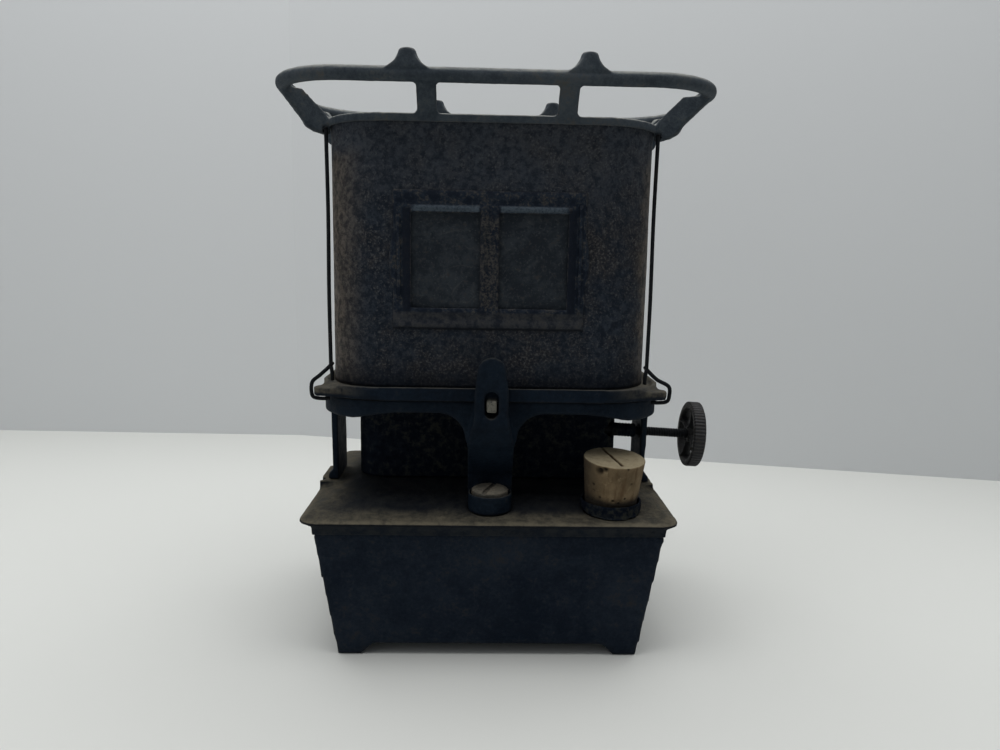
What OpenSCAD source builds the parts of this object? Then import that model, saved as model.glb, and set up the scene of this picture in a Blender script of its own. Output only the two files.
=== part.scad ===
// Small flat-wick oil stove for warming irons and pans: a tapered cast-iron font
// with a tray top, a stand with four legs, an oval sheet-iron drum held down by
// wires, and an open cast grate on top. Millimetres, +Z up, front towards -Y.

/* [Font] */
// Height of the tray edge above the floor
tray_z = 66.5; // [60:0.5:75]
// Width of the tray, left to right
tray_w = 167; // [155:0.5:175]
// Depth of the tray, front to back
tray_d = 121; // [115:0.5:130]
// Width of the font across its feet
font_foot_w = 137; // [125:1:145]
// Depth of the font across its feet
font_foot_d = 101; // [92:1:106]
// Width of the font under the tray
font_top_w = 156.5; // [148:0.5:158]
// Depth of the font under the tray
font_top_d = 113; // [108:0.5:114]
// Thickness of the cast walls and floor
font_wall = 3; // [2.5:0.5:5]
// Height of the hollow under the floor, between the feet
foot_h = 5.5; // [4.5:0.5:8]
// Length of each corner foot along the long side
foot_len = 11; // [10:1:20]
// Rise of the domed tray above its edge
dome_rise = 5.5; // [4:0.5:7]
// Offset of the font to the right of the drum's middle
font_x = 1; // [0:0.5:1.5]

/* [Cork] */
// Distance of the filler from the middle, to the right
filler_x = 56; // [52:1:58]
// Distance of the filler from the middle, to the front
filler_y = 42; // [40:1:43]
// Diameter of the cork at its top
cork_top_d = 28; // [25:0.5:28.5]
// Length of the cork
cork_len = 34; // [28:1:38]
// Lean of the cork towards the front
cork_lean = 5; // [0:0.5:6]

/* [Stand] */
// Height of the deck's upper face
deck_z = 122.5; // [118:0.5:126]
// Width of the deck
deck_w = 155; // [150:1:160]
// Depth of the deck
deck_d = 100; // [96:1:104]
// Thickness of the deck
deck_t = 4.5; // [3.5:0.5:5]
// Width of the front and rear legs
leg_w = 21; // [18:0.2:24]
// Width of the end legs, front to back
end_leg_w = 24; // [20:1:28]

/* [Drum] */
// Width of the drum
drum_w = 146; // [140:1:148]
// Depth of the drum
drum_d = 84; // [80:1:86]
// Radius of the drum's corners
drum_r = 28; // [24:1:32]
// Height of the drum's sheet above the deck
drum_h = 114.5; // [105:0.5:120]
// Thickness of the drum's sheet
sheet_t = 1; // [0.8:0.1:1.5]

/* [Grate] */
// Height of the middle of the top rail
rail_z = 252.2; // [248:0.2:256]
// Width of the rail, outside to outside
rail_w = 192.2; // [188:0.2:198]
// Depth of the rail, outside to outside
rail_d = 110; // [105:1:116]
// Corner radius of the rail, outside
rail_r = 32; // [29:1:38]
// Thickness of the rail's round bar
rail_t = 6.4; // [5:0.2:7]
// Height of the studs' tops above the floor
stud_z = 262; // [259:0.5:265]
// Offset of the grate to the right of the stove's middle
grate_x = 1.6; // [0:0.2:2]

/* [Wick raiser] */
// Diameter of the handwheel
wheel_d = 32.4; // [28:0.4:36]
// Diameter of the shaft
shaft_d = 4.8; // [4:0.2:5]
// Height of the shaft where it leaves the burner
shaft_z = 96.5; // [93:0.5:98]
// Droop of the shaft towards the handwheel
shaft_droop = 3; // [0:0.5:3]
// Width of the wick
wick_w = 84; // [76:1:86]
// Thickness of the wick
wick_t = 3.4; // [3:0.2:3.6]

/* [Hidden] */
$fn = 64;

fit = 0.05;         // gap between pieces that are fitted together
iron = [0.13, 0.13, 0.14];
rust = [0.30, 0.20, 0.14];
sheet = [0.20, 0.19, 0.19];

// The overall outline runs from the rail on the left to the handwheel on the
// right, so the stove itself stands a little left of the frame's origin.
wheel_x = 101.6;                          // middle of the handwheel's rim
wheel_t = 5.8;                            // width of the rim
hub_reach = 2.2;                          // hub and shaft end beyond the rim
left_reach = rail_w / 2 - grate_x;
right_reach = wheel_x + wheel_t / 2 + hub_reach;
stove_x = -(right_reach - left_reach) / 2;

// Font
tray_t = 2.2;                             // thickness of the tray plate
tray_r = 8;                               // its corner radius in plan
band_h = 5.5;                             // seam band below the tray
band_t = 0.4;                             // the band stands this far proud of the font
band_in = 0.9;                            // and this far into it
body_top = tray_z - tray_t;               // top edge of the cast font
seam_z = body_top - band_h;               // lower edge of the band
dome_z = tray_z + dome_rise;
dome_w = 130;                             // level part of the dome
dome_d = 26;
pad_z = 70.8;                             // pads under the end legs
pad_x = 77;
pad_w = 11;
foot_seat = tray_z + 0.55;                // level seats under the front and rear feet

// Collar and cork
collar_top = tray_z + 6.4;
collar_d = 27.8;
cork_hole_d = 25.2;
cork_taper = 0.2;                         // loss of diameter for each mm of length
cork_bottom_d = cork_top_d - cork_taper * cork_len;
cork_above = 19.6;                        // cork standing above the collar

// Stand and deck
ring_t = 4;                               // wall of the stand's ring
ring_low = 109;                           // its lower edge at the ends
web_low = 97.5;                           // and beside the front and rear legs
ring_w = deck_w;
ring_d = deck_d - 5;
ring_r = 27;
deck_r = 28;
deck_low = deck_z - deck_t;
arch_z = 112;                             // top of the arches, front and rear
foot_y = 42.6;                            // front and rear feet from the middle
foot_r = 10.1;
foot_top = tray_z + 9.6;
leg_x = 1;                                // stand and deck sit a touch to the right
tongue_w = 15.2;
tongue_z = 138;
tongue_y = deck_d / 2 + 0.15;             // rear face, just clear of the deck
tongue_t = 3.4;
slot_w = 5.6;
slot_low = 111.4;
slot_high = 123;
ear_x = 75.6;                             // ends of the deck's ears
ear_y = 38.8;
ear_r = 3.5;
burner_slot_w = 104;
burner_slot_d = 15;

// Drum and window
drum_z = deck_z;
drum_top = drum_z + drum_h;
win_x = -0.8;
win_z = 178.3;
win_w = 83;
win_h = 59.4;
swell = 2;                                // how far the frame's sides swell out
pane_w = 29.6;
pane_h = 40.6;
mullion_w = 8.2;
frame_t = 2;
pane_dx = (pane_w + mullion_w) / 2;
mica_t = 0.5;
front_y = -drum_d / 2;

// Grate
rim_w = drum_w + 3;
rim_d = drum_d + 3;
rim_r = drum_r + 1.5;
rim_low = drum_top - 1.8;
rim_high = drum_top + 2.2;
rail_cr = rail_r - rail_t / 2;            // plan radius of the bar's centreline
rail_cx = rail_w / 2 - rail_r;            // corner centres in plan
rail_cy = rail_d / 2 - rail_r;
post_x = 29.3;
stud_x = 36.6;
stud_x_rear = 31;
arm_at = [57.5, 16];                      // point of the drum's corner that the arms run from
arm_turn = 23;                            // and their direction
arm_gap = [rail_cx - arm_at[0], rail_cy - arm_at[1]];
arm_side_gap = arm_gap[1] * cos(arm_turn) - arm_gap[0] * sin(arm_turn);
rail_reach = arm_gap[0] * cos(arm_turn) + arm_gap[1] * sin(arm_turn)
    + sqrt(rail_cr * rail_cr - arm_side_gap * arm_side_gap);
arm_t = 4.2;
tie_hole = 18.3;                           // reach of the tie wire's hole

// Tie wires
wire_r = 0.9;
wire_drop = 2.9;                          // its hole in the arm, below the drum's top
wire_kink = [70.6, 37, 131];              // bend near the deck, on the right at the back
hook_x = ear_x + ear_r + leg_x + 1.2;     // the wire's hook passes outside the ears

// Burner
shell_w = 128;
shell_d = 24;
shell_t = 1.2;
tube_in_w = wick_w + 1.6;
tube_in_d = wick_t + 1.2;
tube_t = 1;
tube_low = 58;
tube_top = 108;
wick_top = 110.5;
wick_low = 22;
shaft_y = -6.2;
spur_r = 4.2;
spur_x = [-22, 22];
gland_len = 9;
gland_d = 7;
shell_end = shell_w / 2;                  // right end of the burner
shaft_in = -100;                          // inner end of the shaft, from there
shaft_out = (right_reach - shell_end) / cos(shaft_droop);
wheel_at = (wheel_x - shell_end) / cos(shaft_droop);

// ---------- shared shapes ----------

module on_stove() {
    translate([stove_x, 0, 0]) children();
}

// The font and its tray stand a touch to the right of the stove's middle
module on_font() {
    translate([stove_x + font_x, 0, 0]) children();
}

// Flat rectangle with round corners, made of squares and circles only
module round_rect(w, d, r) {
    square([w - 2 * r, d], center = true);
    square([w, d - 2 * r], center = true);
    for (sx = [-1, 1], sy = [-1, 1])
        translate([sx * (w / 2 - r), sy * (d / 2 - r)]) circle(r);
}

module slab(w, d, r, z0, z1) {
    translate([0, 0, z0]) linear_extrude(z1 - z0) round_rect(w, d, r);
}

// Straight-sided block whose plan grows or shrinks evenly from z0 to z1
module tapered_block(w0, d0, w1, d1, z0, z1) {
    intersection() {
        rotate([90, 0, 0]) linear_extrude(400, center = true)
            polygon([[-w0 / 2, z0], [w0 / 2, z0], [w1 / 2, z1], [-w1 / 2, z1]]);
        rotate([90, 0, 90]) linear_extrude(400, center = true)
            polygon([[-d0 / 2, z0], [d0 / 2, z0], [d1 / 2, z1], [-d1 / 2, z1]]);
    }
}

module mirrored_x() {
    children();
    mirror([1, 0, 0]) children();
}

module mirrored_y() {
    children();
    mirror([0, 1, 0]) children();
}

// ---------- font ----------

// Width or depth of the font at height z, from its size at the floor and top
function font_at(foot, top, z) = foot + (top - foot) * z / body_top;

module font_body() {
    floor_top = foot_h + font_wall;
    on_font() color(iron) difference() {
        union() {
            tapered_block(font_foot_w, font_foot_d, font_at(font_foot_w, font_top_w, seam_z - fit),
                          font_at(font_foot_d, font_top_d, seam_z - fit), 0, seam_z - fit);
            // narrower behind the seam band
            seam_block(-band_in, seam_z - 1);
        }
        tapered_block(
            font_at(font_foot_w, font_top_w, floor_top) - 2 * font_wall,
            font_at(font_foot_d, font_top_d, floor_top) - 2 * font_wall,
            font_top_w - 2 * font_wall, font_top_d - 2 * font_wall,
            floor_top, body_top + 0.01);
        font_underside();
    }
}

// Hollow between the corner feet, with sloping ends, open on all four sides
module font_underside() {
    long = font_foot_w / 2 - foot_len;
    short = font_foot_d / 2 - foot_len;
    rotate([90, 0, 0]) linear_extrude(200, center = true)
        polygon([[-long, -1], [long, -1], [long, 0], [long - foot_h, foot_h],
                 [foot_h - long, foot_h], [-long, 0]]);
    rotate([90, 0, 90]) linear_extrude(200, center = true)
        polygon([[-short, -1], [short, -1], [short, 0], [short - foot_h, foot_h],
                 [foot_h - short, foot_h], [-short, 0]]);
    translate([0, 0, -1]) linear_extrude(foot_h + 1)
        square([font_foot_w - 6 * font_wall, font_foot_d - 6 * font_wall], center = true);
}

// Hipped dome: level in the middle, falling to the tray's edge all round
module dome(w, d, lift) {
    intersection() {
        rotate([90, 0, 0]) linear_extrude(d, center = true)
            polygon([[-w / 2, tray_z - tray_t], [w / 2, tray_z - tray_t], [w / 2, tray_z + lift],
                     [dome_w / 2, dome_z + lift], [-dome_w / 2, dome_z + lift], [-w / 2, tray_z + lift]]);
        rotate([90, 0, 90]) linear_extrude(w, center = true)
            polygon([[-d / 2, tray_z - tray_t], [d / 2, tray_z - tray_t], [d / 2, tray_z + lift],
                     [dome_d / 2, dome_z + lift], [-dome_d / 2, dome_z + lift], [-d / 2, tray_z + lift]]);
    }
}

module font_top() {
    inner_w = font_top_w - 2 * font_wall;
    inner_d = font_top_d - 2 * font_wall;
    color(rust) difference() {
        union() {
            on_font() intersection() {
                dome(tray_w, tray_d, 0);
                slab(tray_w, tray_d, tray_r, body_top, dome_z + 1);
            }
            // seam band folded down over the font's top edge
            on_font() seam_block(band_t, seam_z);
            // pads under the end legs, out to the tray's edge
            on_stove() mirrored_x() translate([pad_x, 0, tray_z - 1])
                linear_extrude(pad_z - tray_z + 1) square([pad_w, end_leg_w + 3], center = true);
            // level seats under the front and rear feet
            on_stove() mirrored_y() translate([leg_x, -foot_y, body_top])
                cylinder(r = foot_r + 1, h = foot_seat - body_top);
        }
        on_stove() mirrored_y() translate([leg_x, -foot_y, foot_seat]) cylinder(r = foot_r + 0.2, h = 10);
        // room for the cast walls inside the band
        on_font() seam_block(fit - band_in, seam_z - 1);
        // hollow side of the dome
        on_font() intersection() {
            translate([0, 0, -tray_t]) dome(inner_w, inner_d, 0);
            translate([0, 0, body_top - 1])
                linear_extrude(20) square([inner_w, inner_d], center = true);
        }
        on_stove() translate([0, 0, tray_z - 10])
            linear_extrude(30) square([tube_in_w + 2 * tube_t + 2 * fit,
                                       tube_in_d + 2 * tube_t + 2 * fit], center = true);
        on_stove() translate([filler_x, -filler_y, tray_z - 10]) cylinder(d = cork_hole_d, h = 30);
        // small nicks in the tray's side edges
        on_font() mirrored_x() translate([tray_w / 2 + 0.6, -9, tray_z - 5]) cylinder(r = 3, h = 12);
        // holes for the foot screws
        on_stove() mirrored_y() translate([leg_x, -foot_y, tray_z - 6]) cylinder(r = 2.6, h = 12);
    }
}

// Block that follows the font's walls, grown by g, from z0 up to the tray
module seam_block(g, z0) {
    tapered_block(font_at(font_foot_w, font_top_w, z0) + 2 * g, font_at(font_foot_d, font_top_d, z0) + 2 * g,
                  font_top_w + 2 * g, font_top_d + 2 * g, z0, body_top);
}

module filler_collar() {
    on_stove() color(iron) translate([filler_x, -filler_y, 0])
        difference() {
            translate([0, 0, tray_z - 1.5]) union() {
                cylinder(d = collar_d, h = collar_top - tray_z + 1.5);
                cylinder(d1 = collar_d + 4, d2 = collar_d, h = 3.2);
            }
            translate([0, 0, tray_z - 10]) cylinder(d = cork_hole_d, h = 30);
            collar_seat();
        }
}

// Space below the tray's sloping surface, so that the collar sits on it
module collar_seat() {
    translate([font_x - filler_x, filler_y, 0]) dome(tray_w, tray_d, fit);
}

module cork() {
    on_stove() color([0.72, 0.58, 0.42])
        translate([filler_x, -filler_y, collar_top])
            rotate([cork_lean, 2, 0]) translate([0, 0, cork_above - cork_len])
                cylinder(d1 = cork_bottom_d, d2 = cork_top_d, h = cork_len);
}

// ---------- stand ----------

// Side view of a front leg: tongue, lean inwards and foot, as [y, z] points
function leg_side() = [
    [-tongue_y - tongue_t, tongue_z], [-tongue_y - tongue_t, 107],
    [-49, 98], [-34.5, 81], [-34, tray_z + 5], [-30.5, tray_z + 5],
    [-29.8, 80], [-44, 97], [-46.2, 104], [-46.2, deck_low], [-tongue_y, deck_low],
    [-tongue_y, tongue_z]
];

// Front view of the tongue: a tapering strap with a round head
module tongue_front() {
    head_r = 6.3;
    translate([0, tongue_z - head_r]) circle(head_r);
    polygon([[-head_r, tongue_z - head_r], [head_r, tongue_z - head_r],
             [tongue_w / 2, 122], [tongue_w / 2, 112], [leg_w / 2, 98], [leg_w / 2, 60],
             [-leg_w / 2, 60], [-leg_w / 2, 98], [-tongue_w / 2, 112], [-tongue_w / 2, 122]]);
}

module front_leg() {
    difference() {
        union() {
            intersection() {
                rotate([90, 0, 90]) linear_extrude(leg_w, center = true) polygon(leg_side());
                rotate([90, 0, 0]) linear_extrude(200, center = true) tongue_front();
            }
            translate([0, -foot_y, foot_seat + fit])
                cylinder(r = foot_r, h = foot_top - foot_seat - fit);
        }
        // slot that holds the deck's lug
        rotate([90, 0, 0]) linear_extrude(200, center = true) tongue_slot();
        // round recess for the screw's head, and the screw's hole
        translate([0, -foot_y, tray_z + 6.8]) cylinder(r = foot_r - 1.2, h = 5.2);
        translate([0, -foot_y, tray_z - 1]) cylinder(r = 2.6, h = 10);
    }
}

module tongue_slot() {
    translate([0, slot_low + slot_w / 2]) circle(slot_w / 2);
    translate([0, slot_high - slot_w / 2]) circle(slot_w / 2);
    translate([-slot_w / 2, slot_low + slot_w / 2]) square([slot_w, slot_high - slot_low - slot_w]);
}

// Points of a quarter turn of radius r about c, from angle a0 to a1
function arc(c, r, a0, a1) = [for (i = [0:8]) let (a = a0 + (a1 - a0) * i / 8)
    [c[0] + r * cos(a), c[1] + r * sin(a)]];

// Front view of one arch: from the leg, over a round shoulder, out past the ring's end
module arch() {
    beside = leg_w / 2 - 0.5;
    inner = leg_w / 2 + 1;
    r_in = 12;
    beyond = ring_w / 2 + 10;
    polygon(concat(
        [[beside, 50], [beside, arch_z - r_in - 3]],
        arc([inner + r_in, arch_z - r_in], r_in, 180, 90),
        [[42, arch_z], [50, arch_z - 0.8], [61, ring_low], [beyond, ring_low], [beyond, 50]]));
}

// Band under the deck, deeper at its two ends
module ring() {
    difference() {
        slab(ring_w, ring_d, ring_r, web_low, deck_low);
        slab(ring_w - 2 * ring_t, ring_d - 2 * ring_t, ring_r - ring_t, web_low - 1, deck_low + 1);
        mirrored_x() rotate([90, 0, 0]) linear_extrude(200, center = true) arch();
    }
}

// Front view of an end leg: slim, with a gusset under the deck and a lump at its foot
module end_leg() {
    outer = ring_w / 2;
    foot = pad_z + fit;
    rotate([90, 0, 0]) linear_extrude(end_leg_w, center = true)
        polygon([[outer, ring_low + 2], [outer, ring_low - 2],
                 [outer - 0.7, foot + 4.5], [outer + 1.4, foot + 3.4], [outer + 1.9, foot],
                 [outer - 3.8, foot], [outer - 3.6, ring_low - 7],
                 [outer - 7.5, ring_low], [outer - 7.5, ring_low + 2]]);
}

module stand_frame() {
    on_stove() color(iron) difference() {
        translate([leg_x, 0, 0]) union() {
            ring();
            mirrored_x() end_leg();
            mirrored_y() front_leg();
        }
        // hole for the wick shaft in the right leg
        on_shaft() rotate([0, 90, 0]) cylinder(d = shaft_d + 1.2, h = 40);
    }
}

module foot_screws() {
    head_r = foot_r - 1.6;
    on_stove() color(rust) mirrored_y() translate([leg_x, -foot_y, 0]) difference() {
        union() {
            translate([0, 0, tray_z + 6.85]) cylinder(r = head_r, h = 3.4);
            translate([0, 0, tray_z + 10.25]) cylinder(r1 = head_r, r2 = head_r - 2, h = 1);
            translate([0, 0, tray_z - 5]) cylinder(r = 2.4, h = 12);
        }
        translate([0, 0, tray_z + 11.2]) rotate([0, 0, 70]) cube([30, 1.6, 2.4], center = true);
    }
}

module deck_plate() {
    on_stove() color(iron) difference() {
        translate([leg_x, 0, 0]) union() {
            slab(deck_w, deck_d, deck_r, deck_low, deck_z);
            // low lip round the edge
            difference() {
                slab(deck_w, deck_d, deck_r, deck_low, deck_z + 1.6);
                slab(deck_w - 4.5, deck_d - 4.5, deck_r - 2.25, deck_z - 1, deck_z + 3);
            }
            mirrored_x() mirrored_y() deck_ear();
            // lugs through the tongues' slots
            mirrored_y() translate([0, -tongue_y - 0.6, deck_low - 1.5])
                cube([slot_w - 0.8, 5, 5.8], center = true);
        }
        translate([0, 0, deck_low - 1]) linear_extrude(20)
            round_rect(burner_slot_w, burner_slot_d, burner_slot_d / 2 - 0.01);
    }
}

// Ear at the deck's right rear corner, which grows out of its edge
module deck_ear() {
    translate([0, 0, deck_low]) linear_extrude(deck_t) {
        translate([ear_x, ear_y]) circle(ear_r);
        polygon([[50, deck_d / 2 - 0.1], [ear_x + 1, ear_y + ear_r - 0.1], [ear_x + 1, ear_y - ear_r + 0.1],
                 [deck_w / 2 - 2, 28], [60, 30]]);
    }
}

// ---------- drum and window ----------

module drum() {
    on_stove() color(sheet) difference() {
        slab(drum_w, drum_d, drum_r, drum_z, drum_top);
        slab(drum_w - 2 * sheet_t, drum_d - 2 * sheet_t, drum_r - sheet_t, drum_z - 1, drum_top + 1);
        translate([win_x, front_y, win_z]) cube([win_w - 8, 10, win_h - 8], center = true);
    }
}

// Upright row of rivets that closes the drum at the back
module drum_rivets() {
    on_stove() color(iron) for (i = [0:7])
        translate([0, -front_y + 0.02, drum_z + 10 + i * 13.4])
            rotate([-90, 0, 0]) cylinder(r1 = 1.9, r2 = 1.2, h = 0.9, $fn = 24);
}

// Both panes of the window as seen from the front, grown by g all round
module panes(g) {
    for (s = [-1, 1]) translate([win_x + s * pane_dx, win_z])
        square([pane_w + 2 * g, pane_h + 2 * g], center = true);
}

// Flat shape stood upright against the drum's front, from y0 back to y1
module upright(y0, y1) {
    translate([0, y1, 0]) rotate([90, 0, 0]) linear_extrude(y1 - y0) children();
}

// Outline of the window frame, which swells a little half way up both sides
module window_outline() {
    swell_r = 37;
    round_rect(win_w, win_h, 3);
    intersection() {
        square([win_w + 2 * swell, 26], center = true);
        mirrored_x() translate([win_w / 2 + swell - swell_r, 0]) circle(swell_r);
    }
}

module window_frame() {
    on_stove() color(rust) union() {
        upright(front_y - frame_t + 0.8, front_y) difference() {
            translate([win_x, win_z]) window_outline();
            panes(0);
        }
        // raised outer border and mullion
        upright(front_y - frame_t, front_y - frame_t + 0.8) difference() {
            translate([win_x, win_z]) round_rect(win_w - 3, win_h - 3, 3);
            panes(1.6);
        }
    }
}

module mica(side) {
    upright(front_y + 0.15, front_y + 0.15 + mica_t)
        translate([win_x + side * pane_dx, win_z]) square([pane_w + 5, pane_h + 5], center = true);
}

module mica_left() {
    on_stove() color([0.35, 0.33, 0.30]) mica(-1);
}

module mica_right() {
    on_stove() color([0.35, 0.33, 0.30]) mica(1);
}

// Inner frame that presses the panes against the window frame
module mica_retainer() {
    back = front_y + sheet_t + fit;
    on_stove() color(iron) upright(back, back + 1) difference() {
        translate([win_x, win_z]) square([win_w - 2, win_h - 2], center = true);
        panes(-1);
    }
}

// ---------- grate ----------

// Quarter of the rail's round bar, about a corner centre
module rail_corner() {
    rotate_extrude(angle = 90) translate([rail_cr, 0]) circle(rail_t / 2);
}

module rail() {
    translate([0, 0, rail_z]) {
        for (q = [[1, 1, 0], [-1, 1, 90], [-1, -1, 180], [1, -1, 270]])
            translate([q[0] * rail_cx, q[1] * rail_cy, 0]) rotate([0, 0, q[2]]) rail_corner();
        mirrored_y() translate([-rail_cx, rail_cy + rail_cr, 0])
            rotate([0, 90, 0]) cylinder(d = rail_t, h = 2 * rail_cx);
        mirrored_x() translate([rail_cx + rail_cr, -rail_cy, 0])
            rotate([-90, 0, 0]) cylinder(d = rail_t, h = 2 * rail_cy);
    }
}

// Corner web from the rail, at reach out, down to a tail outside the drum, as [reach, z] points
function arm_side(out) = [
    [out - 0.7, rail_z - 1], [out + 2, rail_z - 2.4], [28.7, drum_top + 1.6], [26.3, drum_top - 2.2],
    [22.6, drum_top - 4], [17.2, drum_top - 5.2], [15.9, drum_top - 4.9],
    [15.9, drum_top + 0.1], [13.6, drum_top + 0.1], [13.6, rim_high], [15.7, rim_high], [28, rail_z - 1.5]
];

// Arm of the right (sx = 1) or left (sx = -1) side, centred on the stove
module corner_arm(sx) {
    out = rail_reach + sx * grate_x * cos(arm_turn);
    translate([arm_at[0], arm_at[1], 0]) rotate([0, 0, arm_turn]) difference() {
        rotate([90, 0, 0]) linear_extrude(arm_t, center = true) polygon(arm_side(out));
        // hole for the tie wire
        translate([tie_hole, 0, drum_top - wire_drop])
            rotate([90, 0, 0]) cylinder(r = 1.2, h = 20, center = true, $fn = 24);
    }
}

// Upright bar between the rim and the rail, leaning outwards
module post() {
    rotate([90, 0, 90]) linear_extrude(8.6, center = true)
        polygon([[rim_d / 2 - 3.6, rim_high - 0.5], [rim_d / 2, rim_high - 0.5],
                 [rail_d / 2 - 1.4, rail_z], [rail_d / 2 - 4.6, rail_z]]);
}

module stud() {
    seat = rail_t / 2 - 1;
    rise = stud_z - rail_z - seat;
    translate([0, 0, seat]) {
        cylinder(r1 = 9, r2 = 5.8, h = 0.32 * rise, $fn = 32);
        translate([0, 0, 0.32 * rise]) cylinder(r1 = 5.8, r2 = 4.3, h = 0.3 * rise, $fn = 32);
        translate([0, 0, 0.62 * rise]) cylinder(r1 = 4.3, r2 = 3.6, h = 0.28 * rise, $fn = 32);
        translate([0, 0, 0.9 * rise]) cylinder(r1 = 3.6, r2 = 3, h = 0.1 * rise, $fn = 32);
    }
}

module top_grate() {
    on_stove() color(rust) translate([grate_x, 0, 0]) union() {
        rail();
        // rim that sits over the drum's upper edge
        translate([-grate_x, 0, 0]) difference() {
            slab(rim_w, rim_d, rim_r, rim_low, rim_high);
            slab(rim_w - 12, rim_d - 12, rim_r - 6, rim_low - 1, rim_high + 1);
            // groove for the sheet's edge
            difference() {
                slab(drum_w + 2 * fit, drum_d + 2 * fit, drum_r + fit, rim_low - 1, drum_top);
                slab(rim_w - 20, rim_d - 20, rim_r - 10, rim_low - 2, drum_top + 1);
            }
        }
        translate([-grate_x, 0, 0]) for (sx = [-1, 1], sy = [-1, 1])
            mirror([sx < 0 ? 1 : 0, 0, 0]) mirror([0, sy < 0 ? 1 : 0, 0]) corner_arm(sx);
        mirrored_y() mirrored_x() translate([post_x, 0, 0]) post();
        mirrored_x() translate([stud_x, -rail_cy - rail_cr, rail_z]) stud_trimmed();
        mirrored_x() translate([stud_x_rear, rail_cy + rail_cr, rail_z]) stud_trimmed();
    }
}

// The stud's flare, kept to the width of the rail
module stud_trimmed() {
    intersection() {
        stud();
        cube([40, rail_t + 0.4, 40], center = true);
    }
}

// ---------- tie wires ----------

// Round rod from a to b, run past both ends by extra
module rod(a, b, r, extra) {
    along = b - a;
    length = norm(along);
    translate(a) rotate([0, acos(along[2] / length), atan2(along[1], along[0])])
        translate([0, 0, -extra]) cylinder(r = r, h = length + 2 * extra);
}

// Bent wire: rods from point to point, every second one run on a little past its ends
module bent_wire(path, r) {
    for (i = [0:len(path) - 2]) rod(path[i], path[i + 1], r, 0.35 * r * (i % 2));
}

module tie_wire(sx, sy) {
    side = [-sin(arm_turn), cos(arm_turn), 0];
    hole = [arm_at[0] + tie_hole * cos(arm_turn), arm_at[1] + tie_hole * sin(arm_turn),
            drum_top - wire_drop];
    top = hole + (arm_t / 2 + 1.6) * side;
    mirror([sx < 0 ? 1 : 0, 0, 0]) mirror([0, sy < 0 ? 1 : 0, 0])
        bent_wire([hole - (arm_t / 2 + 1.4) * side, top, wire_kink, [hook_x, ear_y, deck_z + 1],
                   [hook_x - 0.4, ear_y, deck_low - 1.2], [ear_x - 3, ear_y, deck_low - 1.7]], wire_r);
}

module tie_wire_front_left() {
    on_stove() color(iron) tie_wire(-1, -1);
}

module tie_wire_front_right() {
    on_stove() color(iron) tie_wire(1, -1);
}

module tie_wire_rear_left() {
    on_stove() color(iron) tie_wire(-1, 1);
}

module tie_wire_rear_right() {
    on_stove() color(iron) tie_wire(1, 1);
}

// ---------- burner and wick raiser ----------

module burner_shell() {
    on_stove() color([0.16, 0.13, 0.12]) difference() {
        slab(shell_w, shell_d, shell_d / 2 - 0.01, dome_z + fit, deck_low - fit);
        slab(shell_w - 2 * shell_t, shell_d - 2 * shell_t, shell_d / 2 - shell_t - 0.01,
             dome_z - 1, deck_low + 1);
        on_shaft() rotate([0, 90, 0]) cylinder(d = gland_d + 2 * fit, h = 120, center = true);
    }
}

module wick_tube() {
    w = tube_in_w + 2 * tube_t;
    d = tube_in_d + 2 * tube_t;
    on_stove() color([0.45, 0.36, 0.20]) difference() {
        translate([0, 0, (tube_low + tube_top) / 2]) cube([w, d, tube_top - tube_low], center = true);
        translate([0, 0, (tube_low + tube_top) / 2])
            cube([tube_in_w, tube_in_d, tube_top - tube_low + 2], center = true);
        for (x = spur_x) on_shaft() translate([x - shell_end, 3.5, 0]) cube([3, 7, 12], center = true);
    }
}

module air_plate() {
    z = 80;
    on_stove() color([0.40, 0.33, 0.20]) translate([0, 0, z]) linear_extrude(1) difference() {
        round_rect(shell_w - 2 * shell_t - 0.4, shell_d - 2 * shell_t - 0.4, shell_d / 2 - shell_t - 0.25);
        square([tube_in_w + 2 * tube_t + 2 * fit, tube_in_d + 2 * tube_t + 2 * fit], center = true);
        for (i = [-6:6], s = [-1, 1]) translate([i * 8, s * 7]) circle(1.4, $fn = 24);
    }
}

module flame_guide() {
    slot_l = wick_w + 8;
    slot_d = wick_t + 6;
    on_stove() color([0.40, 0.33, 0.20]) difference() {
        union() {
            slab(shell_w - 2 * shell_t - 0.4, shell_d - 2 * shell_t - 0.4,
                 shell_d / 2 - shell_t - 0.25, 111, 112);
            slab(slot_l + 2, slot_d + 2, slot_d / 2 + 0.9, 111, 116);
        }
        slab(slot_l, slot_d, slot_d / 2 - 0.1, 100, 120);
    }
}

module wick() {
    on_stove() color([0.75, 0.70, 0.60]) translate([0, 0, (wick_low + wick_top) / 2])
        cube([wick_w, wick_t, wick_top - wick_low], center = true);
}

// The shaft's own frame: X along the shaft, origin at the burner's right end
module on_shaft() {
    translate([shell_end, shaft_y, shaft_z]) rotate([0, shaft_droop, 0]) children();
}

module raiser_shaft() {
    on_stove() color(iron) on_shaft() translate([shaft_in, 0, 0])
        rotate([0, 90, 0]) cylinder(d = shaft_d, h = shaft_out - shaft_in);
}

// Toothed wheels that climb the wick through the slots in its tube
module spur_wheels() {
    teeth = 12;
    on_stove() color([0.45, 0.36, 0.20]) on_shaft() for (x = spur_x)
        translate([x - shell_end - 0.5, 0, 0]) rotate([0, 90, 0]) linear_extrude(1) difference() {
            union() {
                circle(spur_r - 1);
                for (i = [0:teeth - 1]) rotate([0, 0, i * 360 / teeth])
                    polygon([[0, -0.9], [spur_r, -0.25], [spur_r, 0.25], [0, 0.9]]);
            }
            circle(shaft_d / 2 + fit);
        }
}

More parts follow.
